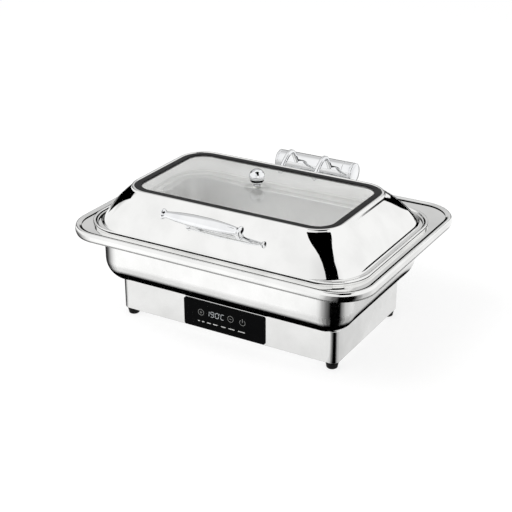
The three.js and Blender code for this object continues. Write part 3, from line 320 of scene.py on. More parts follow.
def swept(path: list[Vector], sideways: Vector, section: list[tuple[float, float]]) -> list[Ring]:
    """Rings of a section carried along a path that lies in one plane.

    Args:
        path: The points of the path.
        sideways: The unit direction square to the path's plane.
        section: The section's outline, across the plane and within it.

    Returns:
        One ring for each point of the path.
    """
    rings: list[Ring] = []
    last = len(path) - 1
    for index, point in enumerate(path):
        along = (path[min(index + 1, last)] - path[max(index - 1, 0)]).normalized()
        up = along.cross(sideways).normalized()
        rings.append([point + sideways * across + up * rise for across, rise in section])
    return rings


def rounded_box(half_width: float, half_height: float, corner: float) -> list[tuple[float, float]]:
    """The outline of a flat rounded rectangle about its own middle.

    Args:
        half_width: Half its width.
        half_height: Half its height.
        corner: The radius of its corners.

    Returns:
        The outline's points.
    """
    outline = Plan(half_width, half_height, 0.0, corner).ring(0.0)
    return [(point.x, point.y) for point in outline]


def placed(rings: list[Ring], place: Matrix) -> list[Ring]:
    """Moves rings by a matrix."""
    return [[place @ point for point in ring] for ring in rings]


def aimed(start: Vector, direction: Vector) -> Matrix:
    """The matrix that turns Z to a direction and moves the origin to a start.

    Args:
        start: Where the origin goes.
        direction: Where Z points afterwards.

    Returns:
        The matrix.
    """
    return Matrix.Translation(start) @ Vector((0, 0, 1)).rotation_difference(direction).to_matrix().to_4x4()


def four_places(half: tuple[float, float], centre_y: float) -> list[Matrix]:
    """The moves to four places round a middle, each in its own quarter.

    Args:
        half: How far they are from the middle along X and along Y.
        centre_y: Where the middle lies along Y.

    Returns:
        The four moves.
    """
    return [
        Matrix.Translation((side_x * half[0], centre_y + side_y * half[1], 0.0))
        for side_x in (-1, 1) for side_y in (-1, 1)
    ]


ALONG_X = Matrix.Rotation(QUARTER_TURN, 4, "Y")


# Making Blender pieces


@dataclass
class Mesher:
    """Collects closed skins and turns them into one Blender object.

    Attributes:
        name: The piece's name.
        sharp_angle: Edges that turn by more degrees than this stay sharp.
        mesh: The skins added so far.
    """

    name: str
    sharp_angle: float = SHARP_ANGLE
    mesh: bmesh.types.BMesh = field(default_factory=bmesh.new)

    # Points that are nearer to each other than this become one
    MERGE = 0.002

    def add(self, rings: list[Ring], ends: Ends = Ends.CAPPED, inside_from: int | None = None) -> "Mesher":
        """Adds one closed skin.

        Args:
            rings: Rings with the same number of points.
            ends: Whether the first and last ring are capped or joined to each other.
            inside_from: The ring from which the faces take the piece's second finish.

        Returns:
            This mesher, to add more.
        """
        rows = [[self.mesh.verts.new(point * MM) for point in ring] for ring in rings]
        following = rows[1:] + rows[:1] if ends is Ends.LOOPED else rows[1:]
        for row, (low, high) in enumerate(zip(rows, following)):
            for index, corner in enumerate(low):
                after = (index + 1) % len(low)
                face = self.mesh.faces.new((corner, low[after], high[after], high[index]))
                face.material_index = int(inside_from is not None and row >= inside_from)
        if ends is Ends.CAPPED:
            self.mesh.faces.new(rows[0][::-1])
            self.mesh.faces.new(rows[-1])
        return self

    def make(self) -> bpy.types.Object:
        """Closes the mesh, sets its smoothing and links it to the scene.

        Returns:
            The object.
        """
        bmesh.ops.remove_doubles(self.mesh, verts=self.mesh.verts, dist=self.MERGE * MM)
        bmesh.ops.recalc_face_normals(self.mesh, faces=self.mesh.faces)
        data = bpy.data.meshes.new(self.name)
        self.mesh.to_mesh(data)
        self.mesh.free()
        made = linked(self.name, data)
        smoothed(made, self.sharp_angle)
        return made


def linked(name: str, data: bpy.types.ID) -> bpy.types.Object:
    """Makes an object and links it to the scene.

    Args:
        name: Its name.
        data: Its mesh, light or camera.

    Returns:
        The object.
    """
    made = bpy.data.objects.new(name, data)
    bpy.context.scene.collection.objects.link(made)
    return made


def smoothed(shape: bpy.types.Object, sharp_angle: float) -> None:
    """Shades an object smoothly and keeps its large faces flat.

    Args:
        shape: The object.
        sharp_angle: Edges that turn by more degrees than this stay sharp.
    """
    shape.data.shade_smooth()
    shape.data.set_sharp_from_angle(angle=math.radians(sharp_angle))
    weighted = shape.modifiers.new("weighted_normals", "WEIGHTED_NORMAL")
    weighted.keep_sharp = True
    weighted.weight = 100


def bevelled(shape: bpy.types.Object, width: float) -> None:
    """Rounds the sharp edges of an object.

    Args:
        shape: The object.
        width: The bevel's width.
    """
    bevel = shape.modifiers.new("edge_radius", "BEVEL")
    bevel.width = width * MM
    bevel.segments = BEVEL_STEPS
    bevel.limit_method = "ANGLE"
    bevel.angle_limit = math.radians(BEVEL_ANGLE)
    bevel.harden_normals = True
    shape.modifiers.move(len(shape.modifiers) - 1, 0)


def carved(shape: bpy.types.Object, cutter: bpy.types.Object, sharp_angle: float = SHARP_ANGLE) -> None:
    """Cuts one object out of another for good, and removes the cutter.

    Args:
        shape: The object that keeps the rest.
        cutter: The object to cut away.
        sharp_angle: Edges that turn by more degrees than this stay sharp.
    """
    shape.modifiers.clear()
    cut = shape.modifiers.new("cut", "BOOLEAN")
    cut.operation = "DIFFERENCE"
    cut.solver = "EXACT"
    cut.object = cutter
    evaluated = shape.evaluated_get(bpy.context.evaluated_depsgraph_get())
    result = bpy.data.meshes.new_from_object(evaluated)
    shape.modifiers.clear()
    shape.data = result
    bpy.data.objects.remove(cutter)
    smoothed(shape, sharp_angle)


def settled(
    shape: bpy.types.Object, finish: "Finish", body: str, *nodes: str, inside: "Finish | None" = None,
) -> None:
    """Gives a piece its finish, the body it rides on and the nodes it stands for.

    Args:
        shape: The piece.
        finish: What it is made of.
        body: The body that carries it.
        *nodes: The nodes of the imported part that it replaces.
        inside: The finish of its inner face, where that is another.
    """
    if shape.data.materials:
        shape.data.materials.clear()
    shape.data.materials.append(finish.material())
    if inside:
        shape.data.materials.append(inside.material())
    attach(shape, body)
    if nodes:
        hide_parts(*nodes)
    log.info("%s: %d faces, %s, on %s", shape.name, len(shape.data.polygons), finish.name, body)


def dressed(finish: "Finish", *nodes: str, bevel: float = 0.0) -> None:
    """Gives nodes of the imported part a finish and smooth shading.

    Args:
        finish: What they are made of.
        *nodes: Their names.
        bevel: The radius given to their sharp edges, or zero.
    """
    for node in nodes:
        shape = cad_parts[node]
        for index in range(len(shape.material_slots)):
            shape.material_slots[index].material = finish.material()
        smoothed(shape, KEPT_SHARP_ANGLE)
        if bevel:
            bevelled(shape, bevel)
        log.info("%s: kept, %s", node, finish.name)


# Finishes


def linear(colour: str) -> tuple[float, float, float, float]:
    """Turns an sRGB hex colour into the linear values that sockets take.

    Args:
        colour: The colour as #rrggbb.

    Returns:
        Linear red, green, blue and an alpha of one.
    """
    def channel(text: str) -> float:
        """One channel in linear light."""
        value = int(text, 16) / 255
        return value / 12.92 if value <= 0.04045 else ((value + 0.055) / 1.055) ** 2.4

    return (channel(colour[1:3]), channel(colour[3:5]), channel(colour[5:7]), 1.0)


def add(tree: bpy.types.NodeTree, kind: str, inputs: dict | None = None, **settings: object) -> bpy.types.Node:
    """Adds a node with its settings, values and links.

    Args:
        tree: The node tree.
        kind: The node's type.
        inputs: Values or sockets for its inputs, by name or index.
        **settings: The node's own settings.

    Returns:
        The node.
    """
    node = tree.nodes.new(kind)
    for name, value in settings.items():
        setattr(node, name, value)
    for key, value in (inputs or {}).items():
        if isinstance(value, Socket):
            tree.links.new(value, node.inputs[key])
        else:
            node.inputs[key].default_value = value
    return node


def blank_material(name: str) -> bpy.types.Material:
    """Makes a material with an empty node tree.

    Args:
        name: Its name.

    Returns:
        The material.
    """
    made = bpy.data.materials.new(name)
    made.use_nodes = True
    made.node_tree.nodes.clear()
    return made


def per_mm(size: float) -> float:
    """The texture scale at which one cell is so many millimetres wide."""
    return 1 / (size * MM)


@dataclass(frozen=True)
class Finish:
    """What every finish has: its name, its material slot, two close colours and a roughness.

    Attributes:
        name: The real material and how its surface was made.
        slot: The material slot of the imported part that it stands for.
        colour: Its main colour.
        shade: A close second colour that shows in patches.
        patch: The size of those patches.
        roughness: The least roughness.
        smear: Roughness added where it was handled or wiped.
    """

    name: str
    slot: str
    colour: str
    shade: str
    patch: float
    roughness: float
    smear: float

    PLAIN_GRAIN = 0.6
    PLAIN_GRAIN_HEIGHT = 0.02
    # The stretch of the noise over which the second colour and the wiped marks come in
    PATCH_RANGE = (0.38, 0.66)
    MARK_RANGE = (0.42, 0.78)
    # The size of a mark as a share of a patch
    MARK_SHARE = 0.6

    def material(self) -> bpy.types.Material:
        """Makes the finish as a Blender material, once.

        Returns:
            The material.
        """
        known = bpy.data.materials.get(self.name)
        if known:
            return known
        made = blank_material(self.name)
        made.diffuse_color = linear(self.colour)
        tree = made.node_tree
        place = add(tree, "ShaderNodeTexCoord").outputs["Object"]
        shader = add(tree, "ShaderNodeBsdfPrincipled")
        tree.links.new(self.tint(tree, place), shader.inputs["Base Color"])
        tree.links.new(self.gloss(tree, place), shader.inputs["Roughness"])
        tree.links.new(self.relief(tree, place), shader.inputs["Normal"])
        self.settle(shader)
        add(tree, "ShaderNodeOutputMaterial", {"Surface": shader.outputs[0]})
        return made

    def tint(self, tree: bpy.types.NodeTree, place: Socket) -> Socket:
        """Patches between the two colours.

        Args:
            tree: The material's node tree.
            place: Where on the object a point is.

        Returns:
            The colour socket.
        """
        patches = add(tree, "ShaderNodeTexNoise", {"Vector": place, "Scale": per_mm(self.patch), "Detail": 4.0})
        low, high = self.PATCH_RANGE
        spread = add(tree, "ShaderNodeMapRange", {0: patches.outputs[0], 1: low, 2: high})
        mixed = add(
            tree, "ShaderNodeMix", {0: spread.outputs[0], 6: linear(self.colour), 7: linear(self.shade)},
            data_type="RGBA",
        )
        return mixed.outputs[2]

    def gloss(self, tree: bpy.types.NodeTree, place: Socket) -> Socket:
        """Roughness with wiped and handled patches.

        Args:
            tree: The material's node tree.
            place: Where on the object a point is.

        Returns:
            The roughness socket.
        """
        marks = add(
            tree, "ShaderNodeTexNoise",
            {"Vector": place, "Scale": per_mm(self.patch * self.MARK_SHARE), "Detail": 5.0, "Roughness": 0.62},
        )
        low, high = self.MARK_RANGE
        spread = add(
            tree, "ShaderNodeMapRange",
            {0: marks.outputs[0], 1: low, 2: high, 3: self.roughness, 4: self.roughness + self.smear},
        )
        return spread.outputs[0]

    def relief(self, tree: bpy.types.NodeTree, place: Socket) -> Socket:
        """The surface's fine relief, a plain grain unless a finish has its own.

        Args:
            tree: The material's node tree.
            place: Where on the object a point is.

        Returns:
            The normal socket.
        """
        grain = add(
            tree, "ShaderNodeTexNoise", {"Vector": place, "Scale": per_mm(self.PLAIN_GRAIN), "Detail": 2.0},
        )
        bump = add(
            tree, "ShaderNodeBump",
            {"Height": grain.outputs[0], "Distance": self.PLAIN_GRAIN_HEIGHT * MM, "Strength": 1.0},
        )
        return bump.outputs[0]

    def settle(self, shader: bpy.types.Node) -> None:
        """Sets the shader's own values; a plain finish has none."""


@dataclass(frozen=True)
class Metal(Finish):
    """A metal, with slow waves of the sheet and the fine lines or grain of its working.

    Attributes:
        surface: How it was worked.
        wave: The length of the sheet's slow waves.
        wave_height: Their height.
        grain: The spacing of the fine lines or grain.
        grain_height: Their height.
        mirror: The share of the light that it mirrors, where the rest spreads all round.
        glow: Painted light: an emission that the inside of the lid or the pan gives off to every ray but the
            camera's, standing in for the light that still bounces about in there when the render stops
            following it.
    """

    surface: Surface
    wave: float
    wave_height: float
    grain: float
    grain_height: float
    mirror: float = 1.0
    glow: float = 0.0

    STRETCHES = {
        Surface.POLISHED: (0.12, 0.12, 1.0),
        Surface.BRUSHED: (0.03, 1.0, 1.0),
        Surface.CAST: (1.0, 1.0, 1.0),
        Surface.PLATED: (1.0, 1.0, 1.0),
    }

    def relief(self, tree: bpy.types.NodeTree, place: Socket) -> Socket:
        """Slow waves under fine lines.

        Args:
            tree: The material's node tree.
            place: Where on the object a point is.

        Returns:
            The normal socket.
        """
        waves = add(tree, "ShaderNodeTexNoise", {"Vector": place, "Scale": per_mm(self.wave), "Detail": 1.0})
        slow = add(
            tree, "ShaderNodeBump",
            {"Height": waves.outputs[0], "Distance": self.wave_height * MM, "Strength": 1.0},
        )
        stretch = add(tree, "ShaderNodeMapping", {"Vector": place, "Scale": self.STRETCHES[self.surface]})
        lines = add(
            tree, "ShaderNodeTexNoise",
            {"Vector": stretch.outputs[0], "Scale": per_mm(self.grain), "Detail": 3.0, "Roughness": 0.6},
        )
        fine = add(
            tree, "ShaderNodeBump",
            {
                "Height": lines.outputs[0], "Distance": self.grain_height * MM, "Strength": 1.0,
                "Normal": slow.outputs[0],
            },
        )
        return fine.outputs[0]

    def settle(self, shader: bpy.types.Node) -> None:
        """Makes the shader a bare metal, with a painted glow where the finish has one.

        Args:
            shader: The shader.
        """
        shader.inputs["Metallic"].default_value = self.mirror
        # Painted light: the finish glows in its own colour for every ray but the camera's
        if self.glow:
            tree = shader.id_data
            rays = add(tree, "ShaderNodeLightPath")
            held = add(tree, "ShaderNodeMapRange", {0: rays.outputs["Is Camera Ray"], 3: self.glow, 4: 0.0})
            shader.inputs["Emission Color"].default_value = linear(self.colour)
            tree.links.new(held.outputs[0], shader.inputs["Emission Strength"])


@dataclass(frozen=True)
class Moulding(Finish):
    """Plastic, rubber, ceramic or board, with a grain from its mould or its fibres.

    Attributes:
        grain: The width of one grain.
        grain_height: How high it stands.
        index: Its index of refraction.
        mirror: How strongly its surface mirrors, where a half is the usual.
    """

    grain: float
    grain_height: float
    index: float = 1.5
    mirror: float = 0.5

    # The size of the finer specks as a share of a grain
    SPECK_SHARE = 0.4

    def relief(self, tree: bpy.types.NodeTree, place: Socket) -> Socket:
        """The mould's grain, a pebble pattern broken up by a finer one.

        Args:
            tree: The material's node tree.
            place: Where on the object a point is.

        Returns:
            The normal socket.
        """
        pebbles = add(tree, "ShaderNodeTexVoronoi", {"Vector": place, "Scale": per_mm(self.grain)})
        specks = add(
            tree, "ShaderNodeTexNoise", {"Vector": place, "Scale": per_mm(self.grain * self.SPECK_SHARE)},
        )
        both = add(tree, "ShaderNodeMath", {0: pebbles.outputs[0], 1: specks.outputs[0]}, operation="ADD")
        bump = add(
            tree, "ShaderNodeBump",
            {"Height": both.outputs[0], "Distance": self.grain_height * MM, "Strength": 1.0},
        )
        return bump.outputs[0]

    def settle(self, shader: bpy.types.Node) -> None:
        """Sets refraction and mirroring."""
        shader.inputs["IOR"].default_value = self.index
        shader.inputs["Specular IOR Level"].default_value = self.mirror


@dataclass(frozen=True)
class Glass(Finish):
    """Clear tempered glass.

    Attributes:
        index: Its index of refraction.
        wave: The length of the waves that tempering leaves.
        wave_height: Their height.
    """

    index: float = 1.45
    wave: float = 90.0
    wave_height: float = 0.08

    def relief(self, tree: bpy.types.NodeTree, place: Socket) -> Socket:
        """The faint waves that tempering leaves.

        Args:
            tree: The material's node tree.
            place: Where on the object a point is.

        Returns:
            The normal socket.
        """
        waves = add(tree, "ShaderNodeTexNoise", {"Vector": place, "Scale": per_mm(self.wave), "Detail": 0.0})
        bump = add(
            tree, "ShaderNodeBump",
            {"Height": waves.outputs[0], "Distance": self.wave_height * MM, "Strength": 1.0},
        )
        return bump.outputs[0]

    def settle(self, shader: bpy.types.Node) -> None:
        """Makes the shader clear."""
        shader.inputs["Transmission Weight"].default_value = 1.0
        shader.inputs["IOR"].default_value = self.index


@dataclass(frozen=True)
class Glow(Finish):
    """Lit segments behind the panel.

    Attributes:
        strength: How strongly they shine.
    """

    strength: float = 0.4

    def settle(self, shader: bpy.types.Node) -> None:
        """Adds the light that the segments give off."""
        shader.inputs["Emission Color"].default_value = linear(self.colour)
        shader.inputs["Emission Strength"].default_value = self.strength


@dataclass(frozen=True)
class CircuitBoard(Finish):
    """Glass-fibre board under green solder mask, with copper tracks that show through it.

    Attributes:
        track: The distance from track to track, drawn as coarse as it needs to show.
        track_line: How wide a track is, where a whole block of the pattern is one.
    """

    track: float = 4.5
    track_line: float = 0.06

    # The distance between two rows of the pattern, where a whole block of it is one
    ROW = 0.25

    def tint(self, tree: bpy.types.NodeTree, place: Socket) -> Socket:
        """Tracks in the lighter shade on the mask's own colour.

        Args:
            tree: The material's node tree.
            place: Where on the object a point is.

        Returns:
            The colour socket.
        """
        upright = add(tree, "ShaderNodeMapping", {"Vector": place, "Rotation": (QUARTER_TURN, 0.0, 0.0)})
        tracks = add(
            tree, "ShaderNodeTexBrick",
            {
                "Vector": upright.outputs[0], "Scale": per_mm(self.track) * self.ROW,
                "Color1": linear(self.colour), "Color2": linear(self.colour),
                "Mortar": linear(self.shade), "Mortar Size": self.track_line,
            },
        )
        return tracks.outputs[0]


class Finishes:
    """Every finish on the dish."""

    # Stainless sheet, ground and buffed to a mirror: it shows the room almost undimmed, a little softened
    MIRROR_STEEL = Metal(
        "stainless steel, mirror polished", "polished_steel", "#f6f6f5", "#eeeeed", 55.0, 0.035, 0.03,
        Surface.POLISHED, 120.0, 0.012, 0.9, 0.00018,
    )
    # The pan is buffed less: its reflections run together into soft, bright greys, and a faint painted glow
    # lights it for every ray but the camera's
    SATIN_STEEL = Metal(
        "stainless steel, satin polished", "satin_steel", "#dededd", "#d8d8d7", 40.0, 0.34, 0.08,
        Surface.BRUSHED, 90.0, 0.02, 0.7, 0.0008, mirror=0.6, glow=0.04,
    )
    # Inside, the dome keeps the even frosted face of the press: it spreads the light that falls in, and a
    # painted glow lights it for every ray but the camera's
    FROSTED_STEEL = Metal(
        "stainless steel, as pressed", "polished_steel", "#efefee", "#ebebea", 40.0, 0.42, 0.08,
        Surface.CAST, 90.0, 0.01, 0.7, 0.0006, mirror=0.5, glow=0.27,
    )
    # Zinc plate keeps the faint clouded grain of its bath
    ZINC_PLATE = Metal(
        "steel, zinc plated", "zinc_steel", "#b6bac0", "#a4a9b0", 6.0, 0.36, 0.12,
        Surface.PLATED, 20.0, 0.01, 0.8, 0.004,
    )
    # Nickel and chromium over polished steel: the brightest metal, with crisp reflections
    CHROME_PLATE = Metal(
        "steel, chromium plated", "chrome", "#f4f5f6", "#ecedef", 30.0, 0.03, 0.02,
        Surface.PLATED, 60.0, 0.004, 1.2, 0.0004,
    )
    # Die-cast plate, left with its matt cast skin
    CAST_ALUMINIUM = Metal(
        "aluminium, die cast", "cast_aluminium", "#a9acae", "#989b9e", 9.0, 0.45, 0.12,
        Surface.CAST, 30.0, 0.05, 1.4, 0.05,
    )
    # The element's sheath is tinted brown by its own heat
    HEATED_SHEATH = Metal(
        "nickel alloy sheath, heat tinted", "element_sheath", "#5c534b", "#3b3a40", 14.0, 0.42, 0.14,
        Surface.CAST, 25.0, 0.01, 0.6, 0.006,
    )
    # Sintered bearing bronze is full of fine pores that hold its oil
    SINTERED_BRONZE = Metal(
        "bronze, sintered", "bronze", "#a8753a", "#8e6231", 3.0, 0.38, 0.1,
        Surface.CAST, 20.0, 0.01, 0.5, 0.03,
    )
    # Silicone extrusion: nearly black, with a dull light where its edges catch the window
    GASKET_SILICONE = Moulding(
        "silicone rubber, extruded", "black_rubber", "#161617", "#121213", 18.0, 0.34, 0.08,
        0.5, 0.006, index=1.41, mirror=0.18,
    )
    # Feet are moulded in black rubber, dull with a coarse grain
    FOOT_RUBBER = Moulding(
        "rubber, moulded", "black_rubber", "#0a0a0a", "#0e0e0e", 10.0, 0.5, 0.12,
        0.9, 0.05, mirror=0.1,
    )
    # The touch panel is black acrylic: deep black with a sharp gloss and faint finger marks
    TOUCH_PANEL = Moulding(
        "acrylic, moulded and polished", "fascia_plastic", "#040405", "#060607", 24.0, 0.05, 0.07,
        4.0, 0.001, index=1.49, mirror=0.035,
    )
    # Printed marks on the panel, screen ink a little raised
    SCREEN_INK = Moulding(
        "screen ink, printed", "fascia_plastic", "#d6d6d4", "#c4c4c2", 3.0, 0.5, 0.1, 0.4, 0.004,
    )
    # The key signs are printed in a greyer ink, so that they stand back behind the digits
    FAINT_INK = Moulding(
        "screen ink, printed grey", "fascia_plastic", "#8e8e8c", "#828280", 3.0, 0.5, 0.1, 0.4, 0.004,
    )
    # Segments lit from behind, a cool white dimmed by the black panel
    LIT_SEGMENTS = Glow("light segments, diffused", "fascia_plastic", "#9fa2a4", "#939698", 2.0, 0.4, 0.1)
    # Glass-filled nylon, matt from the mould's spark-eroded texture
    BLACK_NYLON = Moulding(
        "nylon, moulded", "black_plastic", "#1b1b1c", "#242425", 12.0, 0.46, 0.12, 0.7, 0.03, index=1.53,
    )
    # Solder mask is glossy over the weave
    BOARD = CircuitBoard(
        "circuit board, solder masked", "circuit_board", "#1c5535", "#2f7148", 12.0, 0.32, 0.12,
    )
    # Steatite beads are fired unglazed, off-white and dry
    STEATITE = Moulding(
        "steatite, fired", "white_ceramic", "#e9e4d8", "#dcd5c6", 5.0, 0.55, 0.12, 0.35, 0.02, index=1.6,
    )
    # The knob's washers are clear silicone
    WASHER_SILICONE = Moulding(
        "silicone rubber, clear", "clear_silicone", "#d9d9d4", "#cfcfc9", 6.0, 0.42, 0.1, 0.6, 0.01, index=1.41,
    )
    # Silicone wire sleeving
    WIRE_SLEEVE = Moulding(
        "silicone sleeving, extruded", "red_insulation", "#9c2a22", "#86231c", 7.0, 0.5, 0.12,
        0.5, 0.02, index=1.41,
    )
    # Tempered glass, clear
    WINDOW_GLASS = Glass("glass, tempered", "clear_glass", "#ffffff", "#fdfefe", 80.0, 0.0, 0.01)


# Sub-assemblies


@dataclass
class HeatedBase:
    """The base housing on its feet, with the touch panel in front and the heater inside."""

    outline: Plan = Plan(238.5, 136.5, -17.0, 14.0)
    plate: Plan = Plan(158.0, 93.0, -17.0, 15.0)
    bottom: float = 15.0
    top: float = 80.7
    sheet: float = 1.5
    bend: float = 1.2
    bottom_flange: float = 12.0
    fascia_half_length: float = 90.0
    fascia_bottom: float = 17.2
    fascia_height: float = 57.6
    fascia_thickness: float = 2.5
    fascia_corner: float = 4.0
    fascia_gap: float = 0.3
    opening_margin: float = 9.0
    opening_corner: float = 3.0
    inlet_place: tuple[float, float] = (150.0, 47.0)
    inlet_cut: tuple[float, float] = (14.3, 10.8)
    inlet_corner: float = 2.0
    boss_place: tuple[float, float] = (223.0, 121.0)
    boss_cut: float = 5.3
    cut_reach: float = 12.0

    # How far in and how far back each step of the panel's rounded front edge lies
    FASCIA_EDGE = ((0.0, 1.0), (0.1, 0.55), (0.4, 0.18), (0.9, 0.0))

    @property
    def front(self) -> float:
        """Y of the housing's front face."""
        return self.outline.centre_y - self.outline.half_depth

    def build(self) -> None:
        """Makes the housing and the touch panel."""
        self._housing()
        self._fascia()
        self._marks()

    def _housing(self) -> None:
        """The housing's wall with its bent edges and openings."""
        section = bent([
            (self.outline.grown(-self.bottom_flange), self.bottom, 0.0),
            (self.outline, self.bottom, self.bend),
            (self.outline, self.top, self.bend),
            (self.plate, self.top, 0.0),
        ])
        shell = Mesher("housing_wall").add(pressed(section, self.sheet), Ends.LOOPED).make()
        cutter = Mesher("housing_cutter")
        reach = self.cut_reach
        front, back = self.front, self.outline.centre_y + self.outline.half_depth
        cutter.add(self._panel(self.inlet_place, self.inlet_cut, self.inlet_corner, back - reach, back + reach))
        middle = self.fascia_bottom + self.fascia_height / 2
        opening = (self.fascia_half_length - self.opening_margin, self.fascia_height / 2 - self.opening_margin)
        cutter.add(self._panel((0.0, middle), opening, self.opening_corner, front - reach, front + reach))
        hole = turned([(self.boss_cut, self.top - reach), (self.boss_cut, self.top + reach)], HOLE_STEPS)
        for place in four_places(self.boss_place, self.outline.centre_y):
            cutter.add(placed(hole, place))
        carved(shell, cutter.make())
        settled(shell, Finishes.MIRROR_STEEL, "base", "base_housing")

    def _panel(
        self, middle: tuple[float, float], half: tuple[float, float], corner: float, start: float, end: float,
    ) -> list[Ring]:
        """A rounded slab that stands across Y.

        Args:
            middle: X and Z of its middle.
            half: Half its length and half its height.
            corner: The radius of its corners.
            start: Y of one face.
            end: Y of the other.

        Returns:
            Its two rings.
        """
        outline = rounded_box(half[0], half[1], corner)
        return [[Vector((middle[0] + x, y, middle[1] + z)) for x, z in outline] for y in (start, end)]

    def _fascia(self) -> None:
        """The black panel with its rounded front edge."""
        back = self.front - self.fascia_gap
        face = back - self.fascia_thickness
        middle = (0.0, self.fascia_bottom + self.fascia_height / 2)
        rings: list[Ring] = []
        for inset, y in [(0.0, back)] + [(inset, face + behind) for inset, behind in self.FASCIA_EDGE]:
            half = (self.fascia_half_length - inset, self.fascia_height / 2 - inset)
            rings += self._panel(middle, half, self.fascia_corner - inset, y, y)[:1]
        settled(Mesher("touch_panel").add(rings).make(), Finishes.TOUCH_PANEL, "base", "control_fascia")

    def _marks(self) -> None:
        """The marks on the panel: digits, two ringed signs, the switch sign and the level bars."""
        PanelMarks(self.front - self.fascia_gap - self.fascia_thickness).build()

    def dress(self) -> None:
        """Gives the kept nodes of the base their finishes."""
        feet = [f"foot_{end}_{side}" for end in ("back", "front") for side in ("left", "right")]
        bolts = [name.replace("foot_", "foot_bolt_") for name in feet]
        dressed(Finishes.MIRROR_STEEL, "bottom_plate")
        dressed(Finishes.FOOT_RUBBER, *feet)
        dressed(Finishes.ZINC_PLATE, *bolts, bevel=0.3)
        dressed(Finishes.BOARD, "display_board", "control_board")
        dressed(Finishes.BLACK_NYLON, "digit_display", "terminal_block", "mains_inlet", bevel=0.4)
        dressed(Finishes.ZINC_PLATE, "board_transformer", "heater_tray", "thermal_cutout")
        dressed(Finishes.CAST_ALUMINIUM, "heating_plate", bevel=0.8)
        dressed(Finishes.HEATED_SHEATH, "heating_element", "temperature_probe")
        dressed(Finishes.STEATITE, "element_bead_front", "element_bead_back", "insulation_board")
        dressed(Finishes.WIRE_SLEEVE, "mains_lead", "heater_lead_front", "heater_lead_back")


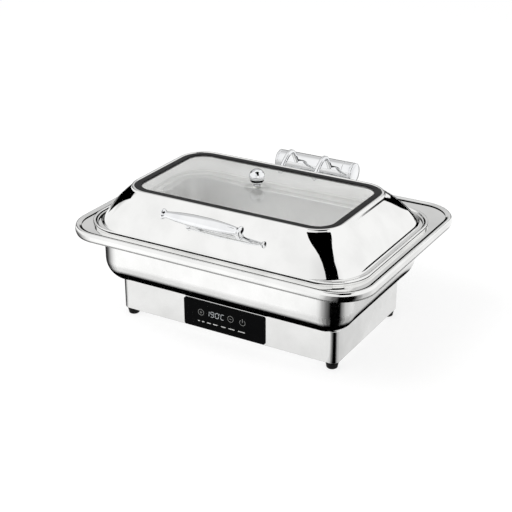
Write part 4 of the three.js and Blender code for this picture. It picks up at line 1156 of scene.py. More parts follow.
@dataclass
class PanelMarks:
    """The pale marks on the touch panel, as thin raised shapes.

    Attributes:
        face: Y of the panel's face.
        lift: How far the marks stand off it.
        root: How far their back faces do.
        bars: X of the two ends of each level bar.
        sign_half: Half the length of the strokes in the ringed signs.
        switch_arc: The angles in degrees between which the switch sign's ring runs.
        switch_rise: How far its stroke stands out over the ring.
        switch_extra: How much thicker that stroke is than the other lines.
        degree_back: How far the degree ring lies before the last sign and below its top.
    """

    face: float
    lift: float = 0.12
    root: float = 0.01
    line: float = 0.8
    bar_height: float = 31.8
    bar_thickness: float = 1.9
    bars: tuple[tuple[float, float], ...] = (
        (-58.2, -53.6), (-49.1, -43.3), (-37.6, -28.5), (-24.0, -13.8), (-6.0, 4.1), (10.8, 24.2), (31.9, 47.4),
    )
    ring_radius: float = 6.2
    plus_place: tuple[float, float] = (-50.8, 51.0)
    minus_place: tuple[float, float] = (15.4, 52.9)
    switch_place: tuple[float, float] = (41.8, 52.0)
    switch_radius: float = 6.0
    sign_half: float = 2.6
    switch_arc: tuple[float, float] = (125.0, 415.0)
    switch_rise: float = 2.0
    switch_extra: float = 0.3
    digit_left: float = -39.9
    digit_bottom: float = 46.6
    digit_size: tuple[float, float] = (7.0, 10.6)
    digit_pitch: float = 10.6
    segment_line: float = 1.3
    segment_gap: float = 0.55
    slant: float = 0.1
    unit_shift: float = 1.6
    degree_radius: float = 0.9
    degree_line: float = 0.5
    degree_back: tuple[float, float] = (1.0, 0.6)

    SHARP = 30.0
    WHOLE = (0.0, 360.0)
    READING = "190C"
    SEGMENTS = {"1": "bc", "9": "abcdfg", "0": "abcdef", "C": "adef"}

    def build(self) -> None:
        """Makes the printed marks and the lit digits."""
        ink = Mesher("panel_marks", self.SHARP)
        for start, end in self.bars:
            self._bar(ink, (start, self.bar_height), (end, self.bar_height), self.bar_thickness)
        settled(ink.make(), Finishes.SCREEN_INK, "base")
        faint = Mesher("panel_signs", self.SHARP)
        for x, z in (self.plus_place, self.minus_place):
            self._arc(faint, (x, z), self.ring_radius, self.WHOLE, self.line)
            self._bar(faint, (x - self.sign_half, z), (x + self.sign_half, z), self.line)
        x, z = self.plus_place
        self._bar(faint, (x, z - self.sign_half), (x, z - self.line / 2), self.line)
        self._bar(faint, (x, z + self.line / 2), (x, z + self.sign_half), self.line)
        x, z = self.switch_place
        self._arc(faint, (x, z), self.switch_radius, self.switch_arc, self.line)
        self._bar(faint, (x, z), (x, z + self.switch_radius + self.switch_rise), self.line + self.switch_extra)
        settled(faint.make(), Finishes.FAINT_INK, "base")
        lit = Mesher("panel_digits", self.SHARP)
        for index, sign in enumerate(self.READING):
            shift = self.unit_shift if sign == "C" else 0.0
            self._digit(lit, sign, self.digit_left + self.digit_pitch * index + shift)
        degree = (
            self.digit_left + self.digit_pitch * 3 - self.degree_back[0],
            self.digit_bottom + self.digit_size[1] - self.degree_back[1],
        )
        self._arc(lit, degree, self.degree_radius, self.WHOLE, self.degree_line)
        settled(lit.make(), Finishes.LIT_SEGMENTS, "base")

    def _at(self, x: float, z: float, front: bool) -> Vector:
        """A point on the panel's face, or lifted off it."""
        return Vector((x, self.face - (self.lift if front else self.root), z))

    def _bar(
        self, mesher: Mesher, start: tuple[float, float], end: tuple[float, float], thickness: float,
    ) -> None:
        """Adds a straight bar with rounded ends.

        Args:
            mesher: Where it goes.
            start: X and Z of one end.
            end: X and Z of the other.
            thickness: How thick the line is.
        """
        steps = 6
        first, last = Vector(start), Vector(end)
        along = (last - first).normalized()
        across = Vector((-along.y, along.x))
        outline: list[Vector] = []
        for tip, sense in ((last, 1), (first, -1)):
            for step in range(steps + 1):
                turn = -QUARTER_TURN + step / steps * math.pi
                middle = tip - along * (sense * thickness / 2)
                reach = along * (sense * math.cos(turn)) + across * (sense * math.sin(turn))
                outline.append(middle + reach * (thickness / 2))
        mesher.add([[self._at(p.x, p.y, front) for p in outline] for front in (False, True)])

    def _arc(
        self, mesher: Mesher, middle: tuple[float, float], radius: float, angles: tuple[float, float],
        line: float,
    ) -> None:
        """Adds an arc or a whole ring.

        Args:
            mesher: Where it goes.
            middle: X and Z of its middle.
            radius: The radius of its middle line.
            angles: The angles of its two ends in degrees.
            line: How thick the line is.
        """
        start, end = angles
        half = line / 2
        steps = 36
        whole = end - start >= 360.0
        rings: list[Ring] = []
        for step in range(steps if whole else steps + 1):
            turn = math.radians(start + (end - start) * step / steps)
            ring: Ring = []
            for out, front in ((-half, False), (half, False), (half, True), (-half, True)):
                x = middle[0] + (radius + out) * math.cos(turn)
                z = middle[1] + (radius + out) * math.sin(turn)
                ring.append(self._at(x, z, front))
            rings.append(ring)
        mesher.add(rings, Ends.LOOPED if whole else Ends.CAPPED)

    def _digit(self, mesher: Mesher, sign: str, left: float) -> None:
        """Adds one sign of seven slanted segments.

        Args:
            mesher: Where it goes.
            sign: The sign.
            left: X of its left edge at the foot.
        """
        width, height = self.digit_size
        gap = self.segment_gap
        joints = {
            "a": ((gap, height), (width - gap, height)),
            "b": ((width, height - gap), (width, height / 2 + gap)),
            "c": ((width, height / 2 - gap), (width, gap)),
            "d": ((gap, 0.0), (width - gap, 0.0)),
            "e": ((0.0, height / 2 - gap), (0.0, gap)),
            "f": ((0.0, height - gap), (0.0, height / 2 + gap)),
            "g": ((gap, height / 2), (width - gap, height / 2)),
        }
        for segment in self.SEGMENTS[sign]:
            start, end = [(left + x + z * self.slant, self.digit_bottom + z) for x, z in joints[segment]]
            self._bar(mesher, start, end, self.segment_line)


@dataclass
class PanStand:
    """The deep water pan and the wide rim frame that stand on the base."""

    basin: Plan = Plan(269.0, 178.0, -17.0, 52.0)
    basin_floor: float = 81.0
    basin_top: float = 195.1
    floor_radius: float = 48.0
    floor_margin: float = 12.0
    top_flange: float = 11.0
    rim: Plan = Plan(315.0, 234.0, 0.0, 72.0)
    ledge: Plan = Plan(272.0, 170.0, -17.0, 58.0)
    opening: Plan = Plan(256.0, 153.5, -17.0, 44.0)
    flat: float = 199.3
    ledge_height: float = 196.6
    lip_bottom: float = 188.6
    skirt_bottom: float = 184.0
    sheet: float = 1.2
    boss_place: tuple[float, float] = (223.0, 121.0)
    boss_radius: float = 5.0
    boss_length: float = 14.0
    boss_edge: float = 0.6

    FLOOR_STEPS = 22
    BOSS_STEPS = 28

    def build(self) -> None:
        """Makes the water pan and the rim frame."""
        self._basin()
        self._rim()

    def _basin(self) -> None:
        """The deep drawn pan with the four threaded bosses under its floor."""
        section: list[Station] = [(self.basin.grown(-self.floor_radius - self.floor_margin), self.basin_floor)]
        for step in range(self.FLOOR_STEPS + 1):
            turn = step / self.FLOOR_STEPS * QUARTER_TURN
            out = self.floor_radius * (math.sin(turn) - 1)
            section.append((self.basin.grown(out), self.basin_floor + self.floor_radius * (1 - math.cos(turn))))
        section += bent([
            (self.basin, section[-1][1] + 0.1, 0.0),
            (self.basin, self.basin_top, 2.0),
            (self.basin.grown(-self.top_flange), self.basin_top, 0.0),
        ])
        pan = Mesher("water_pan_shell").add(pressed(section, self.sheet))
        low = self.basin_floor - self.boss_length
        boss = turned([
            (self.boss_radius - self.boss_edge, low), (self.boss_radius, low + self.boss_edge),
            (self.boss_radius, self.basin_floor + self.sheet / 2),
        ], self.BOSS_STEPS)
        for place in four_places(self.boss_place, self.basin.centre_y):
            pan.add(placed(boss, place))
        settled(pan.make(), Finishes.MIRROR_STEEL, "base", "water_pan")

    def _rim(self) -> None:
        """The rim: rolled skirt, bead, flat, ledge for the food pan and short lip."""
        section = bent([
            (self.rim.grown(1.0), self.skirt_bottom, 0.0),
            (self.rim.grown(3.44), 189.5, 5.0),
            (self.rim.grown(2.84), 198.4, 4.2),
            (self.rim.grown(-1.5), 202.3, 3.4),
            (self.rim.grown(-8.6), self.flat, 2.2),
            (self.ledge.grown(0.6), self.flat, 1.8),
            (self.ledge.grown(-2.4), self.ledge_height, 1.8),
            (self.opening, self.ledge_height, 2.4),
            (self.opening, self.lip_bottom, 0.0),
        ])
        shell = Mesher("rim_frame_shell").add(pressed(section, self.sheet), Ends.LOOPED).make()
        settled(shell, Finishes.MIRROR_STEEL, "base", "rim_frame")


@dataclass
class FoodPan:
    """The lift-out food pan, one size of the usual catering pans."""

    rim: Plan = Plan(265.0, 162.5, -17.0, 52.0)
    flange: float = 12.0
    taper: float = 9.0
    floor: float = 132.9
    floor_radius: float = 13.0
    floor_margin: float = 20.0
    neck: float = 196.9
    top: float = 198.1
    bead: float = 2.4
    sheet: float = 1.0

    def build(self) -> None:
        """Makes the pan with its drawn floor and rolled flange."""
        mouth = self.rim.grown(-self.flange)
        bottom = mouth.grown(-self.taper)
        section = bent([
            (bottom.grown(-self.floor_radius - self.floor_margin), self.floor, 0.0),
            (bottom, self.floor, self.floor_radius),
            (mouth, self.neck, 2.6),
            (self.rim.grown(-self.bead), self.neck, 1.0),
            (self.rim.grown(-0.2), self.neck + 0.5, 0.8),
            (self.rim, self.top, 0.0),
        ], 8)
        shell = Mesher("food_pan_shell").add(pressed(section, self.sheet)).make()
        settled(shell, Finishes.SATIN_STEEL, "food_pan", "food_pan")


@dataclass
class Lid:
    """The domed lid with its window, gasket, glass and ball knob."""

    hem: Plan = Plan(294.5, 197.0, -17.0, 80.0)
    dome_base: Plan = Plan(277.0, 186.5, -18.5, 81.0)
    dome_top: Plan = Plan(227.0, 131.7, -28.8, 56.0)
    window: Plan = Plan(219.5, 124.2, -28.8, 48.0)
    hem_bottom: float = 199.6
    base_height: float = 208.0
    top_height: float = 270.0
    seat: float = 266.0
    bulge: float = 4.0
    crest: float = 4.6
    bead: float = 7.0
    sheet: float = 1.2
    seat_width: float = 12.0
    glass_height: float = 268.0
    glass_inset: float = 7.5
    glass_thickness: float = 4.0
    glass_crown: float = 5.0
    glass_edge: float = 0.5
    gasket_width: float = 13.0
    gasket_top: float = 273.4
    gasket_play: float = 0.3
    knob_bottom: float = 278.6
    knob_centre: float = 296.6
    knob_radius: float = 15.2
    knob_neck: float = 5.6
    knob_skirt: float = 8.0
    screw_hole: float = 3.1

    WALL_STEPS = 18
    GLASS_STEPS = 14
    KNOB_STEPS = 32
    KNOB_ROUND = 56
    GLASS_SHARP = 30.0

    @property
    def middle(self) -> Matrix:
        """Moves a body made about the origin to the middle of the window."""
        return Matrix.Translation((0.0, self.window.centre_y, 0.0))

    def wall(self, share: float) -> Station:
        """A station of the bulged wall.

        Args:
            share: How far down the wall, from zero at the crest to one at the hem.

        Returns:
            The plan and height there.
        """
        fall = self.top_height - self.base_height
        spread = self.dome_base.half_length - self.dome_top.half_length
        run = math.hypot(fall, spread)
        swell = self.bulge * 4 * share * (1 - share)
        out = fall / run
        rise = spread / run
        plan = self.dome_top.mixed(self.dome_base, share).grown(swell * out)
        return plan, self.top_height + (self.base_height - self.top_height) * share + swell * rise

    def wall_point(self, share: float, side: int) -> tuple[Vector, Vector]:
        """The middle of the front or back wall and the direction square to it.

        Args:
            share: How far down the wall.
            side: Minus one for the front, one for the back.

        Returns:
            The point and its outward direction.
        """
        def at(where: float) -> Vector:
            """The wall's middle at a share."""
            plan, height = self.wall(where)
            return Vector((0.0, plan.centre_y + side * plan.half_depth, height))

        near = 0.05
        along = (at(share + near) - at(share - near)).normalized()
        return at(share), Vector((0.0, -side * along.z, side * along.y))

    def build(self) -> None:
        """Makes the dome, the gasket, the glass and the knob."""
        self._dome()
        self._gasket()
        self._glass()
        self._knob()

    def _dome(self) -> None:
        """The dome, pressed from one sheet from its hem up to the window seat."""
        def hem(out: float, rise: float) -> tuple[Plan, float]:
            """A place of the hem by its share outwards and its share of the bead's height."""
            return self.dome_base.mixed(self.hem, out), self.hem_bottom + self.bead * rise

        inner = self.window.grown(self.gasket_play)
        low = bent([
            (*hem(1.0, 0.0), 0.0),
            (*hem(1.0, 0.62), 1.6),
            (*hem(0.93, 1.08), 1.4),
            (*hem(0.72, 1.04), 1.6),
            (*hem(0.6, 0.5), 1.4),
            (*hem(0.12, 0.56), 2.6),
            (*self.wall(0.93), 0.0),
        ])
        lowest, run = 0.9, 0.84
        wall = [self.wall(lowest - run * step / self.WALL_STEPS) for step in range(self.WALL_STEPS + 1)]
        crest = bent([
            (*self.wall(0.05), 0.0),
            (*self.wall(0.0), 0.9),
            (inner.mixed(self.dome_top, 0.86), self.top_height + self.crest * 0.62, 1.6),
            (inner.mixed(self.dome_top, 0.5), self.top_height + self.crest, 1.8),
            (inner.mixed(self.dome_top, 0.12), self.top_height + self.crest * 0.94, 1.0),
            (inner, self.top_height + self.crest * 0.6, 0.8),
            (inner, self.seat, 1.4),
            (self.window.grown(-self.seat_width), self.seat, 0.0),
        ])
        rings = pressed(low[:-1] + wall + crest, self.sheet)
        shell = Mesher("lid_dome_shell").add(rings, Ends.LOOPED, len(rings) // 2).make()
        settled(shell, Finishes.MIRROR_STEEL, "lid", "lid_dome", inside=Finishes.FROSTED_STEEL)

    def _gasket(self) -> None:
        """The gasket that grips the glass and lies on the seat."""
        low = self.seat + self.gasket_play
        top = self.gasket_top
        wide = self.gasket_width
        slot = self.glass_inset - self.gasket_play
        slot_low = self.glass_height - self.gasket_play
        slot_top = self.glass_height + self.glass_thickness + self.gasket_play
        corners = [
            (0.0, low, 0.0), (0.0, top, 1.3), (wide / 2, top + 0.5, 5.0), (wide, top, 0.9),
            (wide, slot_top + 0.6, 0.0), (slot, slot_top, 0.0), (slot, slot_low, 0.0), (wide, slot_low, 0.0),
            (wide, low, 0.0),
        ]
        rings = [self.window.grown(-inward).ring(height) for inward, height in rounded_line(corners)]
        gasket = Mesher("gasket_ring").add(rings, Ends.LOOPED).make()
        settled(gasket, Finishes.GASKET_SILICONE, "lid", "window_gasket")

    def _glass(self) -> None:
        """The crowned glass with its hole for the knob's screw."""
        edge = self.window.grown(-self.glass_inset)
        ground = self.glass_edge
        run = 0.97

        def layer(lift: float) -> list[Ring]:
            """One face of the glass from its ground edge to its middle.

            Args:
                lift: How far it lies above the glass's lower face.

            Returns:
                The face's rings.
            """
            rings: list[Ring] = []
            for step in range(self.GLASS_STEPS + 1):
                share = 1 - run * step / self.GLASS_STEPS
                height = self.glass_height + lift + self.glass_crown * (1 - share * share)
                rings.append(edge.grown(0.0 if step else -ground).scaled(share).ring(height))
            return rings

        edges = [edge.ring(self.glass_height + up) for up in (ground, self.glass_thickness - ground)]
        rings = layer(0.0)[::-1] + edges + layer(self.glass_thickness)
        pane = Mesher("glass_pane", self.GLASS_SHARP).add(rings).make()
        hole = turned([(self.screw_hole, self.seat), (self.screw_hole, self.knob_bottom)], HOLE_STEPS)
        carved(pane, Mesher("drill").add(placed(hole, self.middle)).make(), self.GLASS_SHARP)
        pane.visible_shadow = False
        settled(pane, Finishes.WINDOW_GLASS, "lid", "window_glass")

    def _knob(self) -> None:
        """The turned ball knob on its skirt."""
        radius, centre, low = self.knob_radius, self.knob_centre, self.knob_bottom
        profile = rounded_line([
            (0.0, low, 0.0), (self.knob_skirt, low, 0.3), (self.knob_skirt, low + 0.9, 0.4),
            (6.0, low + 1.5, 0.4), (self.knob_neck, low + 3.0, 0.6),
        ])
        start = math.asin(self.knob_neck / radius)
        for step in range(self.KNOB_STEPS + 1):
            turn = start + (math.pi - start) * step / self.KNOB_STEPS
            profile.append((radius * math.sin(turn), centre - radius * math.cos(turn)))
        ball = Mesher("knob_ball").add(placed(turned(profile, self.KNOB_ROUND), self.middle)).make()
        settled(ball, Finishes.CHROME_PLATE, "lid", "ball_knob")

    def dress(self) -> None:
        """Gives the knob's screw and washers their finishes."""
        dressed(Finishes.WASHER_SILICONE, "knob_washer_lower", "knob_washer_upper")
        dressed(Finishes.ZINC_PLATE, "knob_screw", bevel=0.3)


@dataclass
class Handle:
    """The bar handle on the lid's front wall.

    Attributes:
        waist: From the grip's middle outwards, the share of its half length and of its radius.
    """

    lid: Lid
    wall_share: float = 0.47
    standoff: float = 50.0
    half_length: float = 84.6
    radius: float = 11.6
    post_x: float = 55.0
    post_radius: float = 4.5
    skirt_radius: float = 7.0
    skirt_height: float = 2.0
    post_gap: float = 0.3
    sink: float = 4.0
    end_dome: float = 3.0
    waist: tuple[tuple[float, float], ...] = (
        (0.0, 1.0), (0.2, 0.99), (0.4, 0.92), (0.6, 0.8), (0.76, 0.66), (0.87, 0.56), (0.915, 0.68),
        (0.945, 0.84), (0.97, 0.87),
    )

    GRIP_ROUND = 56
    POST_ROUND = 36
    WAIST_STEPS = 5
    DOME_STEPS = 12

    def build(self) -> None:
        """Makes the grip and its two posts."""
        point, out = self.lid.wall_point(self.wall_share, -1)
        half = [(share * self.half_length, part * self.radius) for share, part in self.waist]
        line = smooth_line([(radius, along) for along, radius in half], self.WAIST_STEPS)
        face = line[-1].x
        turns = [step / self.DOME_STEPS * QUARTER_TURN for step in range(1, self.DOME_STEPS + 1)]
        dome = [
            (face * math.cos(turn), self.half_length + self.end_dome * (math.sin(turn) - 1)) for turn in turns
        ]
        upper = [(p.x, p.y) for p in line] + dome
        profile = [(radius, -along) for radius, along in upper[::-1]] + upper[1:]
        place = Matrix.Translation(point + out * self.standoff) @ ALONG_X
        grip = Mesher("handle_bar").add(placed(turned(profile, self.GRIP_ROUND), place)).make()
        settled(grip, Finishes.CHROME_PLATE, "lid", "handle_grip")
        for side in Side:
            reach = self.standoff - self.radius + self.sink
            post = rounded_line([
                (0.0, 0.0, 0.0), (self.skirt_radius, 0.0, 0.2), (self.skirt_radius, 1.1, 0.5),
                (self.post_radius, self.skirt_height, 1.2), (self.post_radius, reach, 0.0), (0.0, reach, 0.0),
            ])
            start = Vector((side.value * self.post_x, 0.0, 0.0)) + point + out * self.post_gap
            rings = placed(turned(post, self.POST_ROUND), aimed(start, out))
            made = Mesher(f"handle_leg_{side.label}").add(rings).make()
            settled(made, Finishes.CHROME_PLATE, "lid", f"handle_post_{side.label}")

    def dress(self) -> None:
        """Gives the handle's screws their finish."""
        dressed(Finishes.ZINC_PLATE, "handle_screw_left", "handle_screw_right", bevel=0.3)


@dataclass
class BarrelHinge:
    """The damped barrel hinge at the back, with its stands, caps and the two gooseneck arms.

    Attributes:
        groove_share: How far along the collar its groove lies.
        neck_reach: How far below the axis a stand's leg starts, inside the collar.
        neck_core: How far above its foot lies the point that a stand's rounded edges draw in to.
        arm_share: How far down the lid's back wall the arms start.
        route: An arm's run to the axis, as shares of its reach back and of its rise.
    """

    lid: Lid
    axis_y: float = 216.0
    axis_z: float = 239.0
    radius: float = 21.0
    bore: float = 18.5
    half_length: float = 64.8
    collar_start: float = 65.1
    collar_end: float = 86.5
    cap_start: float = 86.8
    cap_end: float = 89.8
    cap_crown: float = 14.0
    cap_edge: float = 0.5
    plug_play: float = 0.3
    plug_depth: float = 2.0
    groove_share: float = 0.82
    groove_depth: float = 0.6
    edge: float = 0.5
    arm_x: float = 38.6
    arm_width: float = 9.0
    arm_thickness: float = 7.6
    arm_corner: float = 2.6
    arm_sink: float = 0.2
    arm_rise: float = 30.5
    arm_share: float = 0.42
    foot_front: float = 201.7
    foot_back: float = 224.7
    foot_bottom: float = 199.6
    neck_half: float = 10.0
    neck_reach: float = 11.1
    neck_core: float = 10.0
    route: tuple[tuple[float, float], ...] = (
        (0.0, 0.0), (0.085, 0.36), (0.25, 0.73), (0.39, 0.95), (0.5, 1.0), (0.6, 0.87), (0.7, 0.5), (0.8, 0.05),
        (0.86, -0.25),
    )

    ROUND = 72
    CAP_STEPS = 14
    ARM_STEPS = 7
    ARM_SHARP = (60.0, 50.0)
    # How far in and how far along each step of a stand's rounded edge lies
    STAND_EDGE = ((0.6, 0.0), (0.18, 0.3), (0.0, 1.0))

    @property
    def place(self) -> Matrix:
        """Turns a body made along Z onto the hinge's axis."""
        return Matrix.Translation((0.0, self.axis_y, self.axis_z)) @ ALONG_X

    def build(self) -> None:
        """Makes the barrel, the stands, the caps and the arms."""
        tube = rounded_line([
            (self.bore, -self.half_length, 0.0), (self.radius, -self.half_length, self.edge),
            (self.radius, self.half_length, self.edge), (self.bore, self.half_length, 0.0),
        ])
        barrel = Mesher("barrel_tube").add(placed(turned(tube, self.ROUND), self.place), Ends.LOOPED).make()
        settled(barrel, Finishes.CHROME_PLATE, "lid", "hinge_barrel")
        for side in Side:
            self._stand(side)
            self._cap(side)
            self._arm(side)

    def _stand(self, side: Side) -> None:
        """A collar round the shaft with its leg and foot on the rim.

        Args:
            side: Which end of the hinge it is at.
        """
        length = self.collar_end - self.collar_start
        groove = self.collar_start + length * self.groove_share
        collar = rounded_line([
            (self.bore, self.collar_start, 0.0), (self.radius, self.collar_start, self.edge),
            (self.radius, groove - 0.9, 0.3), (self.radius - self.groove_depth, groove - 0.4, 0.2),
            (self.radius - self.groove_depth, groove + 0.4, 0.2), (self.radius, groove + 0.9, 0.3),
            (self.radius, self.collar_end, self.edge), (self.bore, self.collar_end, 0.0),
        ])
        mirrored = [(radius, side.value * along) for radius, along in collar]
        stand = Mesher(f"stand_{side.label}").add(placed(turned(mirrored, self.ROUND), self.place), Ends.LOOPED)
        top = self.axis_z - self.neck_reach
        near = self.axis_y - self.neck_half
        far = self.axis_y + self.neck_half
        outline = rounded_line([
            (far, top, 0.0), (near, top, 0.0), (near, self.foot_bottom + 9.0, 3.5),
            (self.foot_front, self.foot_bottom + 4.6, 1.6), (self.foot_front, self.foot_bottom, 0.6),
            (self.foot_back, self.foot_bottom, 0.6), (self.foot_back, self.foot_bottom + 5.5, 0.0),
            (far, top, 0.0),
        ])[:-1]
        rings: list[Ring] = []
        far_edge = tuple((inset, length - along) for inset, along in reversed(self.STAND_EDGE))
        for inset, along in self.STAND_EDGE + far_edge:
            x = side.value * (self.collar_start + along)
            middle = Vector((x, self.axis_y, self.foot_bottom + self.neck_core))
            ring: Ring = []
            for y, z in outline:
                toward = Vector((0.0, middle.y - y, middle.z - z))
                ring.append(Vector((x, y, z)) + toward.normalized() * inset)
            rings.append(ring)
        stand.add(rings)
        settled(stand.make(), Finishes.CHROME_PLATE, "base", f"hinge_stand_{side.label}")

    def _cap(self, side: Side) -> None:
        """The end cap with its plug.

        Args:
            side: Which end of the hinge it is at.
        """
        plug = self.bore - self.plug_play
        plug_end = self.cap_start - self.plug_depth
        profile = rounded_line([
            (0.0, plug_end, 0.0), (plug, plug_end, 0.0), (plug, self.cap_start, 0.0),
            (self.radius, self.cap_start, self.cap_edge / 2),
            (self.radius, self.cap_start + self.cap_edge, 0.0),
        ])
        crown = self.cap_end - self.cap_start - self.cap_edge
        for step in range(1, self.CAP_STEPS + 1):
            turn = step / self.CAP_STEPS * QUARTER_TURN
            out = self.radius - self.cap_crown * (1 - math.cos(turn))
            profile.append((out, self.cap_start + self.cap_edge + crown * math.sin(turn)))
        profile.append((0.0, self.cap_end))
        mirrored = [(radius, side.value * along) for radius, along in profile]
        rings = placed(turned(mirrored, self.ROUND), self.place)
        made = Mesher(f"cap_{side.label}").add(rings).make()
        settled(made, Finishes.CHROME_PLATE, "base", f"hinge_end_cap_{side.label}")

    def _arm(self, side: Side) -> None:
        """A gooseneck arm: a flat bar with rounded edges, bent from the lid's back wall over to the barrel.

        Args:
            side: Which end of the hinge it is at.
        """
        foot, out = self.lid.wall_point(self.arm_share, 1)
        reach = self.axis_y - foot.y
        x = side.value * self.arm_x
        stops = [(x, foot.y + reach * along, foot.z + self.arm_rise * up) for along, up in self.route]
        section = rounded_box(self.arm_width / 2, self.arm_thickness / 2, self.arm_corner)[::3]
        rings = swept(smooth_line(stops, self.ARM_STEPS), Vector((1.0, 0.0, 0.0)), section)
        rough, cut = self.ARM_SHARP
        arm = Mesher(f"arm_{side.label}", rough).add(rings).make()
        cutter = Mesher("arm_cutter")
        barrel = self.radius - self.arm_sink
        past = 30.0
        cutter.add(placed(turned([(barrel, x - past), (barrel, x + past)], self.ROUND), self.place))
        wide = 20.0
        block = [[Vector((a, b, c)) for a, b in rounded_box(wide, wide, 1.0)] for c in (-wide, self.arm_sink)]
        cutter.add(placed(block, aimed(foot + Vector((x, 0.0, 0.0)), out)))
        carved(arm, cutter.make(), cut)
        settled(arm, Finishes.CHROME_PLATE, "lid", f"hinge_arm_{side.label}")

    def dress(self) -> None:
        """Gives the hinge's inner nodes their finishes."""
        dressed(Finishes.CHROME_PLATE, "arm_bolt_left", "arm_bolt_right", bevel=0.3)
        dressed(Finishes.ZINC_PLATE, "hinge_shaft", "hinge_backing_plate", bevel=0.4)
        dressed(Finishes.ZINC_PLATE, "hinge_stand_screw_left", "hinge_stand_screw_right", bevel=0.3)
        dressed(Finishes.SINTERED_BRONZE, "hinge_bush_left", "hinge_bush_right", bevel=0.3)
        dressed(Finishes.BLACK_NYLON, "damper_sleeve", "damper_rotor", bevel=0.3)


# Studio


@dataclass(frozen=True)
class Cloth:
    """Painted dark reflection round the set: a sheet that only reflections see, darkening what they show.

    Attributes:
        name: Its name.
        rows: Rows of points in millimetres, each with the share of light that the sheet holds back there, which
            is how dark the painted reflection is.
    """

    name: str
    rows: list[list[tuple[Vector, float]]]

    def hang(self) -> None:
        """Puts the painted dark reflection up, out of sight of everything but shine."""
        knots = [knot for row in self.rows for knot in row]
        width = len(self.rows[0])
        starts = [row * width + column for row in range(len(self.rows) - 1) for column in range(width - 1)]
        faces = [(start, start + 1, start + width + 1, start + width) for start in starts]
        data = bpy.data.meshes.new(self.name)
        data.from_pydata([point * MM for point, _ in knots], [], faces)
        # How dark the painted reflection is at each point
        thickness = data.attributes.new("thickness", "FLOAT", "POINT")
        thickness.data.foreach_set("value", [share for _, share in knots])
        data.materials.append(self._reflected_shade_material())
        shape = linked(self.name, data)
        shape.visible_camera = False
        shape.visible_diffuse = False
        shape.visible_shadow = False
        shape.visible_transmission = False

    @staticmethod
    def _reflected_shade_material() -> bpy.types.Material:
        """Makes the material of the painted dark reflection, which lets light through where it is thin, once.

        Returns:
            The material.
        """
        name = "painted dark reflection"
        known = bpy.data.materials.get(name)
        if known:
            return known
        made = blank_material(name)
        tree = made.node_tree
        thickness = add(tree, "ShaderNodeAttribute", attribute_name="thickness")
        open_share = add(tree, "ShaderNodeMath", {0: 1.0, 1: thickness.outputs["Fac"]}, operation="SUBTRACT")
        rays = add(tree, "ShaderNodeLightPath")
        passed = add(
            tree, "ShaderNodeMath", {0: open_share.outputs[0], 1: rays.outputs["Is Transmission Ray"]},
            operation="MAXIMUM",
        )
        net = add(tree, "ShaderNodeBsdfTransparent", {"Color": passed.outputs[0]})
        add(tree, "ShaderNodeOutputMaterial", {"Surface": net.outputs[0]})
        return made


@dataclass(frozen=True)
class ReflectedShadeStrip:
    """A strip of painted dark reflection hung far out, given as it is seen from the dish.

    Attributes:
        name: Its name.
        stops: Azimuth, elevation and half width in degrees, and thickness, from end to end.
        edges: The share of the thickness left at the strip's two edges.
        soft: How many degrees each edge takes to fade out.
    """

    name: str
    stops: tuple[tuple[float, float, float, float], ...]
    edges: tuple[float, float] = (1.0, 1.0)
    soft: float = 0.6

    DISTANCE = 6000.0
    EYE = Vector((0.0, 0.0, 200.0))
    STEPS = 8
    COLUMNS = 12

    def hang(self) -> None:
        """Hangs the strip."""
        rows: list[list[tuple[Vector, float]]] = []
        for low, high in zip(self.stops, self.stops[1:]):
            for step in range(self.STEPS + 1):
                share = step / self.STEPS
                rows.append(self._row(*(a + (b - a) * share for a, b in zip(low, high))))
        Cloth(self.name, rows).hang()

    def _row(
        self, azimuth: float, elevation: float, half: float, thickness: float,
    ) -> list[tuple[Vector, float]]:
        """One row across the strip.

        Args:
            azimuth: Its middle, in degrees from X.
            elevation: Its height, in degrees.
            half: Half its width, in degrees.
            thickness: How much light it holds back.

        Returns:
            The row's points with the share held back at each.
        """
        row = [(self._at(azimuth - half - self.soft, elevation), 0.0)]
        for column in range(self.COLUMNS + 1):
            share = column / self.COLUMNS
            held = thickness * (self.edges[0] + (self.edges[1] - self.edges[0]) * share)
            row.append((self._at(azimuth + half * (2 * share - 1), elevation), held))
        row.append((self._at(azimuth + half + self.soft, elevation), 0.0))
        return row

    def _at(self, azimuth: float, elevation: float) -> Vector:
        """A point far out in one direction.

        Args:
            azimuth: The direction round Z, in degrees from X.
            elevation: Its height, in degrees.

        Returns:
            The point.
        """
        around, up = math.radians(azimuth), math.radians(elevation)
        direction = Vector((math.cos(around) * math.cos(up), math.sin(around) * math.cos(up), math.sin(up)))
        return self.EYE + direction * self.DISTANCE


@dataclass(frozen=True)
class FloorReflectedShade:
    """Painted dark reflection of the floor, laid on it as a fan about a point.

    Attributes:
        name: Its name.
        pivot: X and Y of the fan's point.
        columns: Direction in degrees and thickness, from side to side.
        rows: Distance from the point and the share of the thickness left there.
    """

    name: str
    pivot: tuple[float, float]
    columns: tuple[tuple[float, float], ...]
    rows: tuple[tuple[float, float], ...]

    HEIGHT = 1.5

    def hang(self) -> None:
        """Lays the painted dark reflection down."""
        Cloth(self.name, [self._row(distance, left) for distance, left in self.rows]).hang()

    def _row(self, distance: float, left: float) -> list[tuple[Vector, float]]:
        """One row at a distance from the fan's point.

        Args:
            distance: The distance.
            left: The share of the thickness left there.

        Returns:
            The row's points with the share held back at each.
        """
        row: list[tuple[Vector, float]] = []
        for direction, thickness in self.columns:
            around = math.radians(direction)
            x = self.pivot[0] + distance * math.cos(around)
            y = self.pivot[1] + distance * math.sin(around)
            row.append((Vector((x, y, self.HEIGHT)), thickness * left))
        return row


